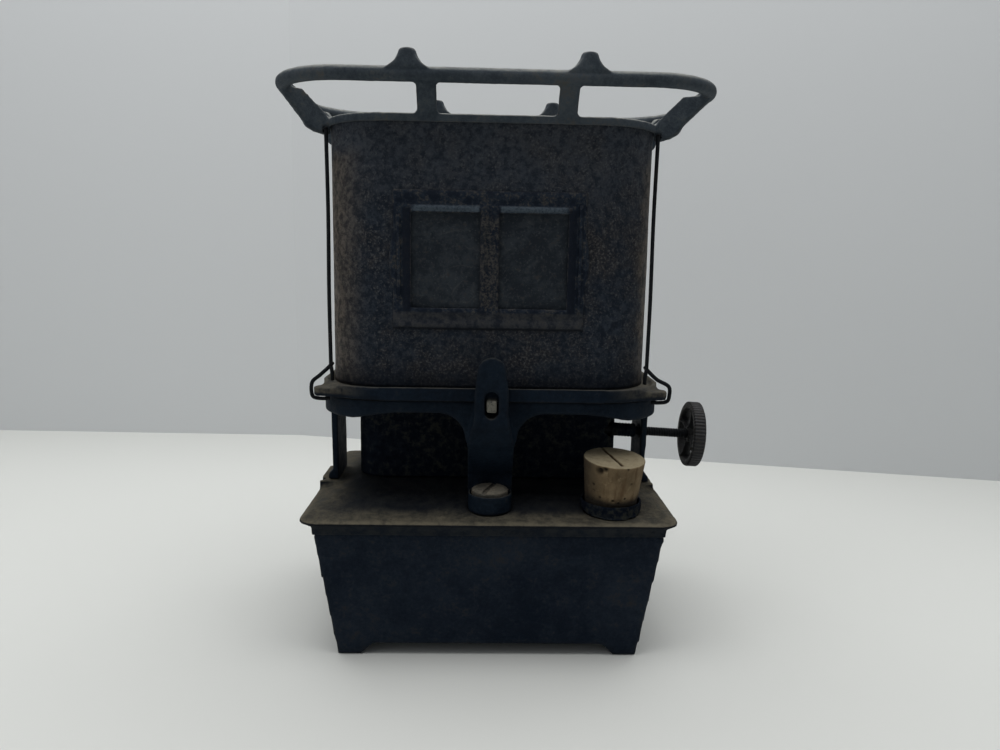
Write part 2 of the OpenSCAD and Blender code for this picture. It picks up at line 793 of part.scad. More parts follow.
module shaft_gland() {
    on_stove() color(iron) on_shaft() translate([-2.5, 0, 0]) rotate([0, 90, 0]) difference() {
        cylinder(d = gland_d, h = gland_len + 2.5);
        translate([0, 0, -1]) cylinder(d = shaft_d + 0.16, h = 20);
    }
}

module handwheel() {
    rim_in = wheel_d / 2 - 3.4;
    on_stove() color([0.20, 0.17, 0.15]) on_shaft() translate([wheel_at, 0, 0]) rotate([0, 90, 0])
        difference() {
            union() {
                translate([0, 0, -wheel_t / 2]) difference() {
                    cylinder(d = wheel_d, h = wheel_t);
                    translate([0, 0, -1]) cylinder(r = rim_in, h = 10);
                }
                translate([0, 0, -2.4]) cylinder(r = 4.2, h = 5.4);
                for (a = [0:90:270]) rotate([0, 0, a + 20])
                    translate([0, -2.2, -1.4]) cube([rim_in + 0.6, 4.4, 2.8]);
            }
            translate([0, 0, -10]) cylinder(d = shaft_d + 2 * fit, h = 30);
        }
}

font_body();
font_top();
filler_collar();
cork();
stand_frame();
foot_screws();
deck_plate();
drum();
drum_rivets();
window_frame();
mica_left();
mica_right();
mica_retainer();
top_grate();
tie_wire_front_left();
tie_wire_front_right();
tie_wire_rear_left();
tie_wire_rear_right();
burner_shell();
wick_tube();
air_plate();
flame_guide();
wick();
raiser_shaft();
spur_wheels();
shaft_gland();
handwheel();
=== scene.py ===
"""Looks of a small cast-iron oil stove: worn castings, a mottled sheet-iron drum with a
two-pane window, an open grate, twisted wires, a split cork and a threaded wick raiser."""

from functools import reduce
from math import cos, pi, radians, sin

import bmesh
import bpy
import numpy as np
from mathutils import Matrix, Vector


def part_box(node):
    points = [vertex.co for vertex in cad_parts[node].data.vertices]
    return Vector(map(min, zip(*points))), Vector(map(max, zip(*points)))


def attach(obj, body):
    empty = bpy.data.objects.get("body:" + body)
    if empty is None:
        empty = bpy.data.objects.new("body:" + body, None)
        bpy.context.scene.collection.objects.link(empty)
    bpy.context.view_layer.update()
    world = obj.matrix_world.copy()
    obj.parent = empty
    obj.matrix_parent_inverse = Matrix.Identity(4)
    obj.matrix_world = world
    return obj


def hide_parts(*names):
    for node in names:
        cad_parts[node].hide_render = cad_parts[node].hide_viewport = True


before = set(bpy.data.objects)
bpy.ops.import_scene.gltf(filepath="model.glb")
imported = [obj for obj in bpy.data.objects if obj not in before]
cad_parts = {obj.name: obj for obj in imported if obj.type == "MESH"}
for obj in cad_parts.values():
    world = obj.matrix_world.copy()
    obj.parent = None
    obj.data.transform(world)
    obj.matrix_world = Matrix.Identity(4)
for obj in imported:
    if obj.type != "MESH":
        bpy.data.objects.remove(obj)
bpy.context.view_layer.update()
MM = 0.001

# ---------------------------------------------------------------- numbers of the frame

DRUM_LO, DRUM_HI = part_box("drum")
MID_X = (DRUM_LO.x + DRUM_HI.x) / 2          # the stove's own middle, left of the origin
DRUM_R = 28 * MM                             # plan radius of the drum's corners
WIN_LO, WIN_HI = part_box("window_frame")
SWELL = 2 * MM                               # the frame's sides swell out half way up
WIN_LO.x, WIN_HI.x = WIN_LO.x + SWELL, WIN_HI.x - SWELL
WIN_X, WIN_Z = (WIN_LO.x + WIN_HI.x) / 2, (WIN_LO.z + WIN_HI.z) / 2
PANE_W, PANE_H, MULLION = 29.6 * MM, 40.6 * MM, 8.2 * MM
PANE_SHIFT = (PANE_W + MULLION) / 2
PANES = [(WIN_X + side * PANE_SHIFT - PANE_W / 2, WIN_X + side * PANE_SHIFT + PANE_W / 2)
         for side in (-1, 1)]                # left and right edge of each
PANE_LOW, PANE_HIGH = WIN_Z - PANE_H / 2, WIN_Z + PANE_H / 2
SHAFT_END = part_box("raiser_shaft")[1].x      # tip of the wick shaft, past its handwheel
DROOP = radians(3)                           # the wick shaft slopes down to its handwheel
SHELL_END = 64 * MM                          # right end of the burner, from the stove's middle
WHEEL_AT = (101.6 * MM - SHELL_END) / cos(DROOP)  # middle of the handwheel's rim, along the shaft
DECK_UNDER = 118 * MM                        # underside of the deck
EAR_END = 79.1 * MM                          # reach of the deck's ears, from the deck's middle
TRAY_EDGE_Z = 66.5 * MM                      # tray edge above the floor
CORK_X = MID_X + 56 * MM                     # axis of the cork


# ---------------------------------------------------------------- noise and mesh helpers

LATTICE = np.random.default_rng(11).random((32, 32, 32))


def value_noise(points, size, seed=0):
    """Smooth noise from 0 to 1 at each point; size is the width of one lump."""
    q = points / size + 31.7 * seed
    cell = np.floor(q).astype(int)
    t = q - cell
    t = t * t * (3 - 2 * t)
    total = np.zeros(len(points))
    for dx in (0, 1):
        for dy in (0, 1):
            for dz in (0, 1):
                weight = (
                    np.abs(1 - dx - t[:, 0]) * np.abs(1 - dy - t[:, 1]) * np.abs(1 - dz - t[:, 2])
                )
                corner = (cell + (dx, dy, dz)) % 32
                total += weight * LATTICE[corner[:, 0], corner[:, 1], corner[:, 2]]
    return total


def fractal(points, size, seed=0, octaves=3):
    total, share, scale = np.zeros(len(points)), 0.5, 0.0
    for k in range(octaves):
        total += share * value_noise(points, size / 2**k, seed + 3 * k)
        scale += share
        share /= 2
    return total / scale


def points_of(mesh):
    found = np.empty(len(mesh.vertices) * 3)
    mesh.vertices.foreach_get("co", found)
    return found.reshape(-1, 3)


def normals_of(mesh):
    found = np.empty(len(mesh.vertices) * 3, np.float32)
    mesh.vertex_normals.foreach_get("vector", found)
    return found.reshape(-1, 3).astype(float)


def set_points(mesh, points):
    mesh.vertices.foreach_set("co", np.ascontiguousarray(points, float).ravel())
    mesh.update()


def smooth(obj, on=True):
    obj.data.polygons.foreach_set("use_smooth", [on] * len(obj.data.polygons))
    return obj


def make_object(name, verts, faces):
    mesh = bpy.data.meshes.new(name)
    mesh.from_pydata([tuple(v) for v in verts], [], faces)
    mesh.validate()
    mesh.update()
    obj = bpy.data.objects.new(name, mesh)
    bpy.context.scene.collection.objects.link(obj)
    return smooth(obj)


def applied(obj):
    """obj with its modifiers made real."""
    graph = bpy.context.evaluated_depsgraph_get()
    mesh = bpy.data.meshes.new_from_object(obj.evaluated_get(graph))
    obj.modifiers.clear()
    obj.data = mesh
    return obj


def weld(mesh, distance):
    """Joins vertices that are closer than distance."""
    bm = bmesh.new()
    bm.from_mesh(mesh)
    bmesh.ops.remove_doubles(bm, verts=bm.verts, dist=distance)
    bm.to_mesh(mesh)
    bm.free()


def copy_of(node, name):
    """A new object with a copy of a CAD node's mesh, its doubled vertices joined."""
    obj = bpy.data.objects.new(name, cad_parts[node].data.copy())
    bpy.context.scene.collection.objects.link(obj)
    weld(obj.data, 1e-6)
    obj.data.materials.clear()
    return obj


def cast_copy(node, name, voxel):
    """Even, slightly rounded mesh of a CAD node, as a sand casting would come out."""
    obj = copy_of(node, name)
    mod = obj.modifiers.new("even", "REMESH")
    mod.mode, mod.voxel_size, mod.use_smooth_shade = "VOXEL", voxel, True
    applied(obj)
    mod = obj.modifiers.new("soften", "SMOOTH")
    mod.factor, mod.iterations = 0.5, 2
    return smooth(applied(obj))


def sink(obj, *layers):
    """Moves each vertex inwards; a layer is (depth, size of a lump, seed)."""
    points, normals = points_of(obj.data), normals_of(obj.data)
    depth = np.zeros(len(points))
    for amount, size, seed in layers:
        depth += amount * fractal(points, size, seed)
    set_points(obj.data, points - normals * depth[:, None])
    return obj


def finish_piece(obj, material, body, slot, *nodes):
    obj.data.materials.clear()
    obj.data.materials.append(material)
    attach(obj, body)
    if nodes:
        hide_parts(*nodes)
    return obj


def join_meshes(name, parts):
    """One object from several, which are removed."""
    verts, faces = [], []
    for part in parts:
        start = len(verts)
        world = part.matrix_world
        verts += [world @ v.co for v in part.data.vertices]
        faces += [[start + i for i in p.vertices] for p in part.data.polygons]
        bpy.data.objects.remove(part)
    return make_object(name, verts, faces)


def tube_faces(rows, sides, closed=False):
    """Faces between rings of points; closed joins the last ring to the first."""
    faces = []
    for row in range(rows if closed else rows - 1):
        below, above = row * sides, (row + 1) % rows * sides
        for k in range(sides):
            k2 = (k + 1) % sides
            faces.append([below + k, below + k2, above + k2, above + k])
    return faces


def capped_tube(rows, sides):
    """The same, with a face over each end."""
    return [*tube_faces(rows, sides), list(range(sides))[::-1],
            [(rows - 1) * sides + k for k in range(sides)]]


def lathe(name, profile, sides, place, wave=None):
    """Turned piece from (radius, height) pairs; wave(angle, row) changes the radius."""
    verts = []
    for row, (r, h) in enumerate(profile):
        for k in range(sides):
            a = 2 * pi * k / sides
            rr = r * (wave(a, row) if wave else 1)
            verts.append(place @ Vector((rr * cos(a), rr * sin(a), h)))
    return make_object(name, verts, capped_tube(len(profile), sides))


def swept(name, path, radius, sides=10, flat=1.0):
    """Tube along a list of points, closed at both ends."""
    path = [Vector(p) for p in path]
    up = Vector((0.13, 0.02, 1)).normalized()
    verts = []
    side = None
    for i, p in enumerate(path):
        along = (path[min(i + 1, len(path) - 1)] - path[max(i - 1, 0)]).normalized()
        if side is None:
            side = along.cross(up)
            if side.length < 0.05:
                side = along.cross(Vector((1, 0, 0)))
        side = (side - along * side.dot(along)).normalized()
        third = along.cross(side)
        r = radius(i / (len(path) - 1)) if callable(radius) else radius
        for k in range(sides):
            a = 2 * pi * k / sides
            verts.append(p + r * (cos(a) * side + flat * sin(a) * third))
    return make_object(name, verts, capped_tube(len(path), sides))


def spline(points, steps=6):
    """Smooth path through points."""
    points = [Vector(p) for p in points]
    ends = [2 * points[0] - points[1], *points, 2 * points[-1] - points[-2]]
    path = []
    for i in range(1, len(ends) - 2):
        a, b, c, d = ends[i - 1 : i + 3]
        for k in range(steps):
            t = k / steps
            path.append(
                0.5 * (2 * b + (c - a) * t + (2 * a - 5 * b + 4 * c - d) * t**2
                       + (3 * b - 3 * c + d - a) * t**3)
            )
    return path + [points[-1]]


def on_shaft():
    """Frame of the wick shaft: Z along it to the right, origin at the burner's end."""
    end = Vector((MID_X + SHELL_END, -6.2 * MM, 96.5 * MM))
    return Matrix.Translation(end) @ Matrix.Rotation(DROOP, 4, "Y") @ Matrix.Rotation(pi / 2, 4, "Y")


# ---------------------------------------------------------------- materials


def srgb(r, g, b):
    """Linear colour of an sRGB triple from 0 to 255."""
    return tuple(
        c / 255 / 12.92 if c <= 10 else ((c / 255 + 0.055) / 1.055) ** 2.4 for c in (r, g, b)
    ) + (1,)


class Paint:
    """Small builder for one material's nodes; lengths are in metres of the object."""

    def __init__(self, name, specular=0.35, metallic=0.0):
        self.material = bpy.data.materials.new(name)
        self.material.use_nodes = True
        self.nodes, self.links = self.material.node_tree.nodes, self.material.node_tree.links
        self.shader = self.nodes["Principled BSDF"]
        self.shader.inputs["Specular IOR Level"].default_value = specular
        self.shader.inputs["Metallic"].default_value = metallic
        self.coords = self.nodes.new("ShaderNodeTexCoord").outputs["Object"]

    def add(self, kind, **values):
        node = self.nodes.new("ShaderNode" + kind)
        for key, value in values.items():
            if hasattr(node, key):
                setattr(node, key, value)
            else:
                self.plug(node.inputs[key], value)
        return node

    def plug(self, socket, value):
        if isinstance(value, bpy.types.NodeSocket):
            self.links.new(value, socket)
        else:
            socket.default_value = value

    def stretched(self, x=1, y=1, z=1):
        node = self.add("Mapping")
        self.plug(node.inputs["Vector"], self.coords)
        node.inputs["Scale"].default_value = (x, y, z)
        return node.outputs[0]

    def noise(self, size, detail=6, rough=0.6, warp=0.0, where=None, seed=0.0):
        node = self.add("TexNoise", noise_dimensions="4D")
        self.plug(node.inputs["Vector"], where or self.coords)
        node.inputs["W"].default_value = seed
        node.inputs["Scale"].default_value = 1 / size
        node.inputs["Detail"].default_value = detail
        node.inputs["Roughness"].default_value = rough
        node.inputs["Distortion"].default_value = warp
        return node.outputs["Fac"]

    def cells(self, size, feature="F1", where=None, randomness=1.0):
        node = self.add("TexVoronoi", feature=feature)
        self.plug(node.inputs["Vector"], where or self.coords)
        node.inputs["Scale"].default_value = 1 / size
        node.inputs["Randomness"].default_value = randomness
        return node.outputs["Distance"]

    def ramp(self, value, low, high, start=0.0, end=1.0):
        node = self.add("MapRange", interpolation_type="SMOOTHSTEP")
        for key, v in (("Value", value), ("From Min", low), ("From Max", high),
                       ("To Min", start), ("To Max", end)):
            self.plug(node.inputs[key], v)
        return node.outputs["Result"]

    def math(self, kind, a, b=0.0):
        node = self.add("Math", operation=kind)
        self.plug(node.inputs[0], a)
        self.plug(node.inputs[1], b)
        return node.outputs[0]

    def times(self, *values):
        return reduce(lambda a, b: self.math("MULTIPLY", a, b), values)

    def plus(self, *values):
        return reduce(lambda a, b: self.math("ADD", a, b), values)

    def blend(self, *shares):
        """Weighted sum of (value, share) pairs."""
        return self.plus(*[self.times(value, share) for value, share in shares])

    def spread(self, value, amount):
        """A noise turned into a shift of up to half the amount either way."""
        return self.times(self.math("SUBTRACT", value, 0.5), amount)

    def off_centre(self, name, centre):
        """Distance along one axis from a centre."""
        return self.math("ABSOLUTE", self.math("SUBTRACT", self.axis(name), centre))

    def between(self, value, *stops):
        """One from the second stop to the third, nothing outside the first and the last."""
        return self.times(self.ramp(value, stops[0], stops[1]), self.ramp(value, stops[2], stops[3], 1, 0))

    def mix(self, share, a, b):
        node = self.add("Mix", data_type="RGBA")
        self.plug(node.inputs["Factor"], share)
        self.plug(node.inputs[6], a)
        self.plug(node.inputs[7], b)
        return node.outputs[2]

    def axis(self, name):
        """x, y or z of the object's own coordinates."""
        node = self.add("SeparateXYZ")
        self.plug(node.inputs[0], self.coords)
        return node.outputs[name]

    def facing_up(self, low=0.3, high=0.9):
        geometry = self.add("NewGeometry")
        node = self.add("SeparateXYZ")
        self.plug(node.inputs[0], geometry.outputs["Normal"])
        return self.ramp(node.outputs["Z"], low, high)

    def edges(self, low=0.5, high=0.62):
        geometry = self.add("NewGeometry")
        return self.ramp(geometry.outputs["Pointiness"], low, high)

    def stored_share(self, name):
        """Share of darkening stored on the mesh's vertices."""
        return self.add("Attribute", attribute_name=name).outputs["Fac"]

    def done(self, colour, roughness, *bumps):
        """The finished material; a bump is (height, depth in metres)."""
        self.plug(self.shader.inputs["Base Color"], colour)
        self.plug(self.shader.inputs["Roughness"], roughness)
        last = None
        for height, depth in bumps:
            node = self.add("Bump")
            node.inputs["Strength"].default_value = 1
            self.plug(node.inputs["Height"], height)
            node.inputs["Distance"].default_value = depth
            if last:
                self.plug(node.inputs["Normal"], last)
            last = node.outputs["Normal"]
        if last:
            self.plug(self.shader.inputs["Normal"], last)
        return self.material


def iron_paint(name, dark, mid, rust, dust, rust_at=0.56, dust_share=0.8, pits=0.00025, lit=None):
    """Old casting: blue-black iron, brown rust in patches and on edges, dust on top, which on the grate is
    also a painted highlight along the rail tops.
    """
    p = Paint(name, specular=0.09)
    broad = p.noise(0.03, seed=1.0, warp=0.5)
    fine = p.noise(0.0055, detail=8, rough=0.72, seed=2.0)
    speck = p.noise(0.0015, detail=4, rough=0.7, seed=3.0)
    tone = p.blend((broad, 0.4), (fine, 0.35), (speck, 0.25))
    base = p.mix(p.ramp(tone, 0.4, 0.6), dark, mid)
    patch = p.blend((fine, 0.5), (speck, 0.3), (broad, 0.2))
    base = p.mix(p.ramp(patch, rust_at - 0.07, rust_at + 0.06, 0, 0.85), base, rust)
    base = p.mix(p.times(p.edges(), p.ramp(fine, 0.35, 0.6, 0.15, 0.7)), base, rust)
    # dust on upward faces; on the pale grate it is also a painted highlight along the rail tops
    dust_and_top_light = p.times(p.facing_up(), p.ramp(fine, 0.3, 0.62, 0.35, 1.0))
    base = p.mix(p.times(dust_and_top_light, dust_share), base, dust)
    if lit:
        # the deck's front lug, painted bright: rubbed in the tongue's slot, and a painted highlight where its
        # end catches the light
        lug = p.ramp(p.axis("Y"), -0.0512, -0.0506, 1, 0)
        base = p.mix(p.times(lug, p.ramp(speck, 0.36, 0.56, 0.25, 1)), base, lit)
        # lip worn pale towards the ends, with a painted highlight along its top edge
        out = p.off_centre("X", MID_X)
        worn = p.times(p.ramp(out, 0.05, 0.078), p.ramp(p.axis("Z"), 0.119, 0.1205))
        base = p.mix(p.times(worn, p.ramp(fine, 0.36, 0.58, 0.15, 0.85)), base, srgb(88, 83, 72))
    return p.done(base, p.ramp(fine, 0.3, 0.7, 0.55, 0.86),
                  (broad, 0.0005), (fine, pits * 2), (speck, pits))


def tray_paint():
    """Tray top: tan dust near the edges, a painted shadow of the stand dark near the burner, a painted
    highlight along the lip, grains stuck on.
    """
    p = Paint("tray_dusty_iron", specular=0.12)
    broad = p.noise(0.03, seed=4.0, warp=0.5)
    fine = p.noise(0.005, detail=8, rough=0.72, seed=5.0)
    speck = p.noise(0.0012, detail=4, rough=0.75, seed=6.0)
    dark = p.mix(p.ramp(fine, 0.35, 0.65), srgb(9, 14, 22), srgb(26, 29, 32))
    dusty = p.mix(p.ramp(fine, 0.35, 0.66), srgb(48, 47, 42), srgb(84, 79, 67))
    dusty = p.mix(p.ramp(speck, 0.56, 0.64, 0, 0.75), dusty, srgb(40, 33, 27))
    # painted shadow: the tray stays dark near the middle, where the stand shades it
    x, y = p.off_centre("X", MID_X), p.off_centre("Y", 0)
    out = p.math("MAXIMUM", p.ramp(x, 0.056, 0.08), p.ramp(y, 0.04, 0.057))
    out = p.ramp(p.plus(out, p.spread(broad, 1.2)), 0.1, 1.0)
    # painted highlight: a pale band along the tray's lip
    rim = p.math("MAXIMUM", p.ramp(y, 0.0565, 0.0598), p.ramp(x, 0.078, 0.082))
    dusty = p.mix(p.times(rim, p.ramp(fine, 0.35, 0.55, 0.2, 0.75)), dusty, srgb(98, 92, 78))
    top = p.times(p.facing_up(0.2, 0.7), p.plus(p.times(out, 0.92), 0.05))
    base = p.mix(top, dark, dusty)
    band = p.ramp(p.axis("Z"), 0.0625, 0.0645, 1, 0)
    brown = p.mix(p.ramp(fine, 0.4, 0.6), srgb(13, 22, 32), srgb(37, 40, 43))
    return p.done(p.mix(band, base, brown), p.ramp(fine, 0.3, 0.7, 0.65, 0.95),
                  (broad, 0.0004), (fine, 0.0006), (speck, 0.00025))


def drum_paint():
    """Sooty sheet: blue-black with brown and grey mottling, painted side light as warm strips at the two
    ends.
    """
    p = Paint("drum_mottled_sheet", specular=0.14)
    broad = p.noise(0.045, seed=7.0, warp=0.6)
    middle = p.noise(0.011, detail=8, rough=0.68, seed=8.0)
    fine = p.noise(0.0028, detail=6, rough=0.75, seed=9.0)
    speck = p.noise(0.0011, detail=3, rough=0.7, seed=10.0)
    blue = p.mix(p.ramp(fine, 0.42, 0.6), srgb(13, 22, 33), srgb(38, 46, 56))
    brown = p.mix(p.ramp(speck, 0.42, 0.6), srgb(30, 30, 33), srgb(62, 58, 55))
    patch = p.blend((middle, 0.35), (fine, 0.4), (broad, 0.25))
    base = p.mix(p.ramp(patch, 0.43, 0.59, 0, 0.8), blue, brown)
    # paler specks where the scale has flaked
    flake = p.times(p.ramp(speck, 0.53, 0.66), p.ramp(middle, 0.34, 0.6))
    base = p.mix(p.times(flake, 0.5), base, srgb(88, 90, 92))
    # paler and greyer towards the rim
    high = p.ramp(p.axis("Z"), DRUM_HI.z - 0.05, DRUM_HI.z - 0.008)
    base = p.mix(p.times(high, p.ramp(fine, 0.35, 0.6, 0.12, 0.5)), base, srgb(62, 66, 72))
    # ends: painted side light on the rounded ends, warm brown
    x = p.off_centre("X", MID_X)
    end = p.ramp(p.plus(x, p.spread(middle, 0.012)), 0.064, 0.0715)
    low = p.ramp(p.plus(p.axis("Z"), p.spread(broad, 0.05)), 0.214, 0.224, 1, 0)
    warm = p.mix(p.ramp(fine, 0.4, 0.62), srgb(50, 46, 43), srgb(102, 93, 83))
    base = p.mix(p.times(end, low, 0.75), base, warm)
    # more painted side light on the left end
    left = p.ramp(p.plus(p.axis("X"), p.spread(middle, 0.01)),
                  DRUM_LO.x + 0.004, DRUM_LO.x + 0.02, 0.7, 0)
    base = p.mix(p.times(left, low), base, warm)
    # darker towards the foot
    foot = p.ramp(p.axis("Z"), DRUM_LO.z, DRUM_LO.z + 0.012, 0.6, 0)
    base = p.mix(foot, base, srgb(11, 17, 26))
    return p.done(base, p.ramp(middle, 0.3, 0.7, 0.6, 0.85),
                  (middle, 0.0004), (fine, 0.0004), (speck, 0.00018))


def window_paint():
    """Pressed frame: as sooty as the drum, subdued rust on the mullion, pale on raised edges."""
    p = Paint("window_rusty_frame", specular=0.14)
    fine = p.noise(0.0035, detail=8, rough=0.72, seed=12.0)
    speck = p.noise(0.0011, detail=4, rough=0.7, seed=13.0)
    blue = p.mix(p.ramp(fine, 0.43, 0.59), srgb(8, 18, 31), srgb(32, 41, 52))
    rust = p.mix(p.ramp(speck, 0.42, 0.6), srgb(29, 32, 36), srgb(66, 63, 60))
    x = p.off_centre("X", WIN_X)
    z = p.off_centre("Z", WIN_Z)
    on_bar = p.times(p.ramp(x, 0.0032, 0.0046, 1, 0), p.ramp(z, 0.017, 0.023, 1, 0))
    patch = p.blend((fine, 0.7), (speck, 0.3), (on_bar, 0.09))
    base = p.mix(p.ramp(patch, 0.5, 0.6, 0, 0.85), blue, rust)
    # dark blue strips beside the panes
    beside = p.math("MAXIMUM", p.between(x, 0.0334, 0.0342, 0.0368, 0.0378),
                    p.between(x, 0.0036, 0.0042, 0.0048, 0.0052))
    beside = p.times(beside, p.ramp(z, 0.0215, 0.023, 1, 0), 0.85)
    base = p.mix(beside, base, srgb(7, 15, 27))
    worn = p.times(p.edges(0.53, 0.62), p.ramp(fine, 0.4, 0.6, 0.02, 0.5))
    base = p.mix(worn, base, srgb(80, 76, 72))
    # pale bars over the panes, a greyer lower border, and a painted shadow line along its foot
    high = p.math("SUBTRACT", p.axis("Z"), WIN_Z)
    bar = p.times(p.between(high, 0.0204, 0.021, 0.0228, 0.0238),
                  p.between(x, 0.004, 0.0052, 0.032, 0.034))
    base = p.mix(p.times(bar, p.ramp(speck, 0.36, 0.56, 0.35, 0.9)), base, srgb(72, 82, 91))
    low = p.times(p.ramp(high, -0.0216, -0.0226), p.ramp(fine, 0.36, 0.6, 0.1, 0.75))
    base = p.mix(low, base, srgb(56, 56, 57))
    # painted shadow: a dark line along the frame's lower edge
    half = (WIN_HI.z - WIN_LO.z) / 2
    base = p.mix(p.ramp(high, 0.0014 - half, 0.0006 - half, 0, 0.85), base, srgb(8, 14, 22))
    return p.done(base, p.ramp(fine, 0.3, 0.7, 0.6, 0.85), (fine, 0.0005), (speck, 0.0002))


def mica_paint():
    """Mica gone opaque with soot: greasy grey with faint curved stains and brown bloom."""
    p = Paint("sooty_mica", specular=0.2)
    broad = p.noise(0.014, seed=14.0, warp=1.2)
    fine = p.noise(0.003, detail=8, rough=0.72, seed=15.0)
    speck = p.noise(0.001, detail=3, seed=16.0)
    tone = p.ramp(p.blend((broad, 0.5), (fine, 0.5)), 0.44, 0.57)
    base = p.mix(tone, srgb(17, 25, 33), srgb(38, 44, 50))
    base = p.mix(p.ramp(fine, 0.54, 0.66, 0, 0.6), base, srgb(52, 47, 43))
    # faint arcs left by drops
    centre = p.add("VectorMath", operation="DISTANCE")
    p.plug(centre.inputs[0], p.stretched(1, 0, 1))
    centre.inputs[1].default_value = (MID_X - 0.012, 0, WIN_LO.z + 0.016)
    reach = p.plus(centre.outputs["Value"], p.times(broad, 0.012))
    ring = p.math("ABSOLUTE", p.math("SUBTRACT", p.math("PINGPONG", reach, 0.0075), 0.0036))
    arc = p.times(p.ramp(ring, 0.0, 0.0006, 0.3, 0), p.ramp(broad, 0.48, 0.58))
    base = p.mix(arc, base, srgb(66, 66, 66))
    base = p.mix(p.ramp(speck, 0.55, 0.68, 0, 0.35), base, srgb(70, 72, 74))
    return p.done(base, p.ramp(fine, 0.3, 0.7, 0.5, 0.75), (broad, 0.0003), (fine, 0.0003))


def wire_paint():
    p = Paint("dark_wire", specular=0.12)
    fine = p.noise(0.002, detail=6, rough=0.7, seed=17.0)
    broad = p.noise(0.015, seed=18.0)
    base = p.mix(p.ramp(fine, 0.4, 0.65), srgb(9, 12, 16), srgb(24, 26, 29))
    base = p.mix(p.ramp(broad, 0.55, 0.7, 0, 0.5), base, srgb(38, 32, 28))
    return p.done(base, p.ramp(fine, 0.3, 0.7, 0.5, 0.8), (fine, 0.0003))


def cork_paint():
    """Cork: warm grain, dark lenticels drawn along it, a black slit, oil-dark at the collar."""
    p = Paint("dry_cork", specular=0.15)
    broad = p.noise(0.009, seed=19.0)
    grain = p.noise(0.0028, detail=8, rough=0.72, seed=20.0)
    streak = p.noise(0.0035, detail=5, rough=0.6, seed=21.0, where=p.stretched(1, 1, 0.16))
    base = p.mix(p.ramp(broad, 0.3, 0.7), srgb(92, 78, 58), srgb(122, 105, 80))
    base = p.mix(p.ramp(streak, 0.48, 0.66, 0, 0.7), base, srgb(76, 56, 38))
    base = p.mix(p.ramp(grain, 0.55, 0.7, 0, 0.55), base, srgb(142, 126, 98))
    pore = p.cells(0.0042)
    base = p.mix(p.times(p.ramp(pore, 0.06, 0.16, 1, 0), p.ramp(grain, 0.42, 0.6)), base, srgb(36, 26, 18))
    oil = p.ramp(p.plus(p.axis("Z"), p.spread(broad, 0.006)), 0.0738, 0.0778, 0.92, 0)
    base = p.mix(oil, base, srgb(19, 18, 18))
    # painted shade: the left side darker
    left = p.ramp(p.axis("X"), CORK_X - 0.0135, CORK_X - 0.005, 0.8, 0)
    base = p.mix(left, base, srgb(42, 38, 33))
    # painted highlight: the top paler where the light falls on it
    top = p.times(p.facing_up(0.6, 0.95), p.ramp(grain, 0.3, 0.6, 0.45, 0.85))
    base = p.mix(top, base, srgb(146, 136, 112))
    # the slit, the chips and the pores are painted dark
    base = p.mix(p.stored_share("hollow"), base, srgb(14, 11, 9))
    return p.done(base, 0.9, (grain, 0.0005), (p.ramp(pore, 0.05, 0.2), 0.0004), (streak, 0.0004))


def burner_paint():
    """Burner shell: black soot, with brown crumbs showing only here and there."""
    p = Paint("burner_soot", specular=0.08)
    broad = p.noise(0.02, seed=22.0)
    lump = p.noise(0.004, detail=8, rough=0.72, seed=23.0)
    speck = p.noise(0.0012, detail=4, seed=24.0)
    base = p.mix(p.ramp(lump, 0.42, 0.62), srgb(6, 13, 24), srgb(20, 27, 36))
    crumbs = p.ramp(p.plus(lump, p.times(broad, 0.4)), 0.68, 0.84, 0, 0.7)
    base = p.mix(crumbs, base, srgb(50, 50, 43))
    return p.done(base, p.ramp(speck, 0.3, 0.7, 0.75, 0.95), (lump, 0.0012), (speck, 0.0003))


def brass_paint():
    p = Paint("tarnished_brass", specular=0.5, metallic=0.75)
    broad = p.noise(0.012, seed=25.0)
    fine = p.noise(0.002, detail=7, rough=0.7, seed=26.0)
    base = p.mix(p.ramp(broad, 0.35, 0.65), srgb(84, 66, 36), srgb(128, 104, 62))
    base = p.mix(p.ramp(fine, 0.5, 0.66, 0, 0.85), base, srgb(46, 36, 26))
    return p.done(base, p.ramp(fine, 0.3, 0.7, 0.4, 0.75), (fine, 0.0003))


def wick_paint():
    """Cotton: cream weave below, burnt black on top."""
    p = Paint("woven_cotton_wick", specular=0.1)
    fine = p.noise(0.002, detail=6, seed=27.0)
    rows = p.add("TexWave", wave_type="BANDS", bands_direction="Z")
    p.plug(rows.inputs["Vector"], p.coords)
    rows.inputs["Scale"].default_value = 170
    columns = p.add("TexWave", wave_type="BANDS", bands_direction="X")
    p.plug(columns.inputs["Vector"], p.coords)
    columns.inputs["Scale"].default_value = 170
    weave = p.times(rows.outputs["Fac"], columns.outputs["Fac"])
    base = p.mix(p.ramp(fine, 0.35, 0.65), srgb(176, 160, 128), srgb(206, 192, 160))
    base = p.mix(p.ramp(weave, 0.0, 0.35, 0.6, 0), base, srgb(108, 94, 72))
    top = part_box("wick")[1].z
    char = p.ramp(p.plus(p.axis("Z"), p.times(fine, 0.006)), top - 0.007, top + 0.0005)
    return p.done(p.mix(char, base, srgb(22, 20, 19)), 0.95, (weave, 0.0005), (fine, 0.0003))


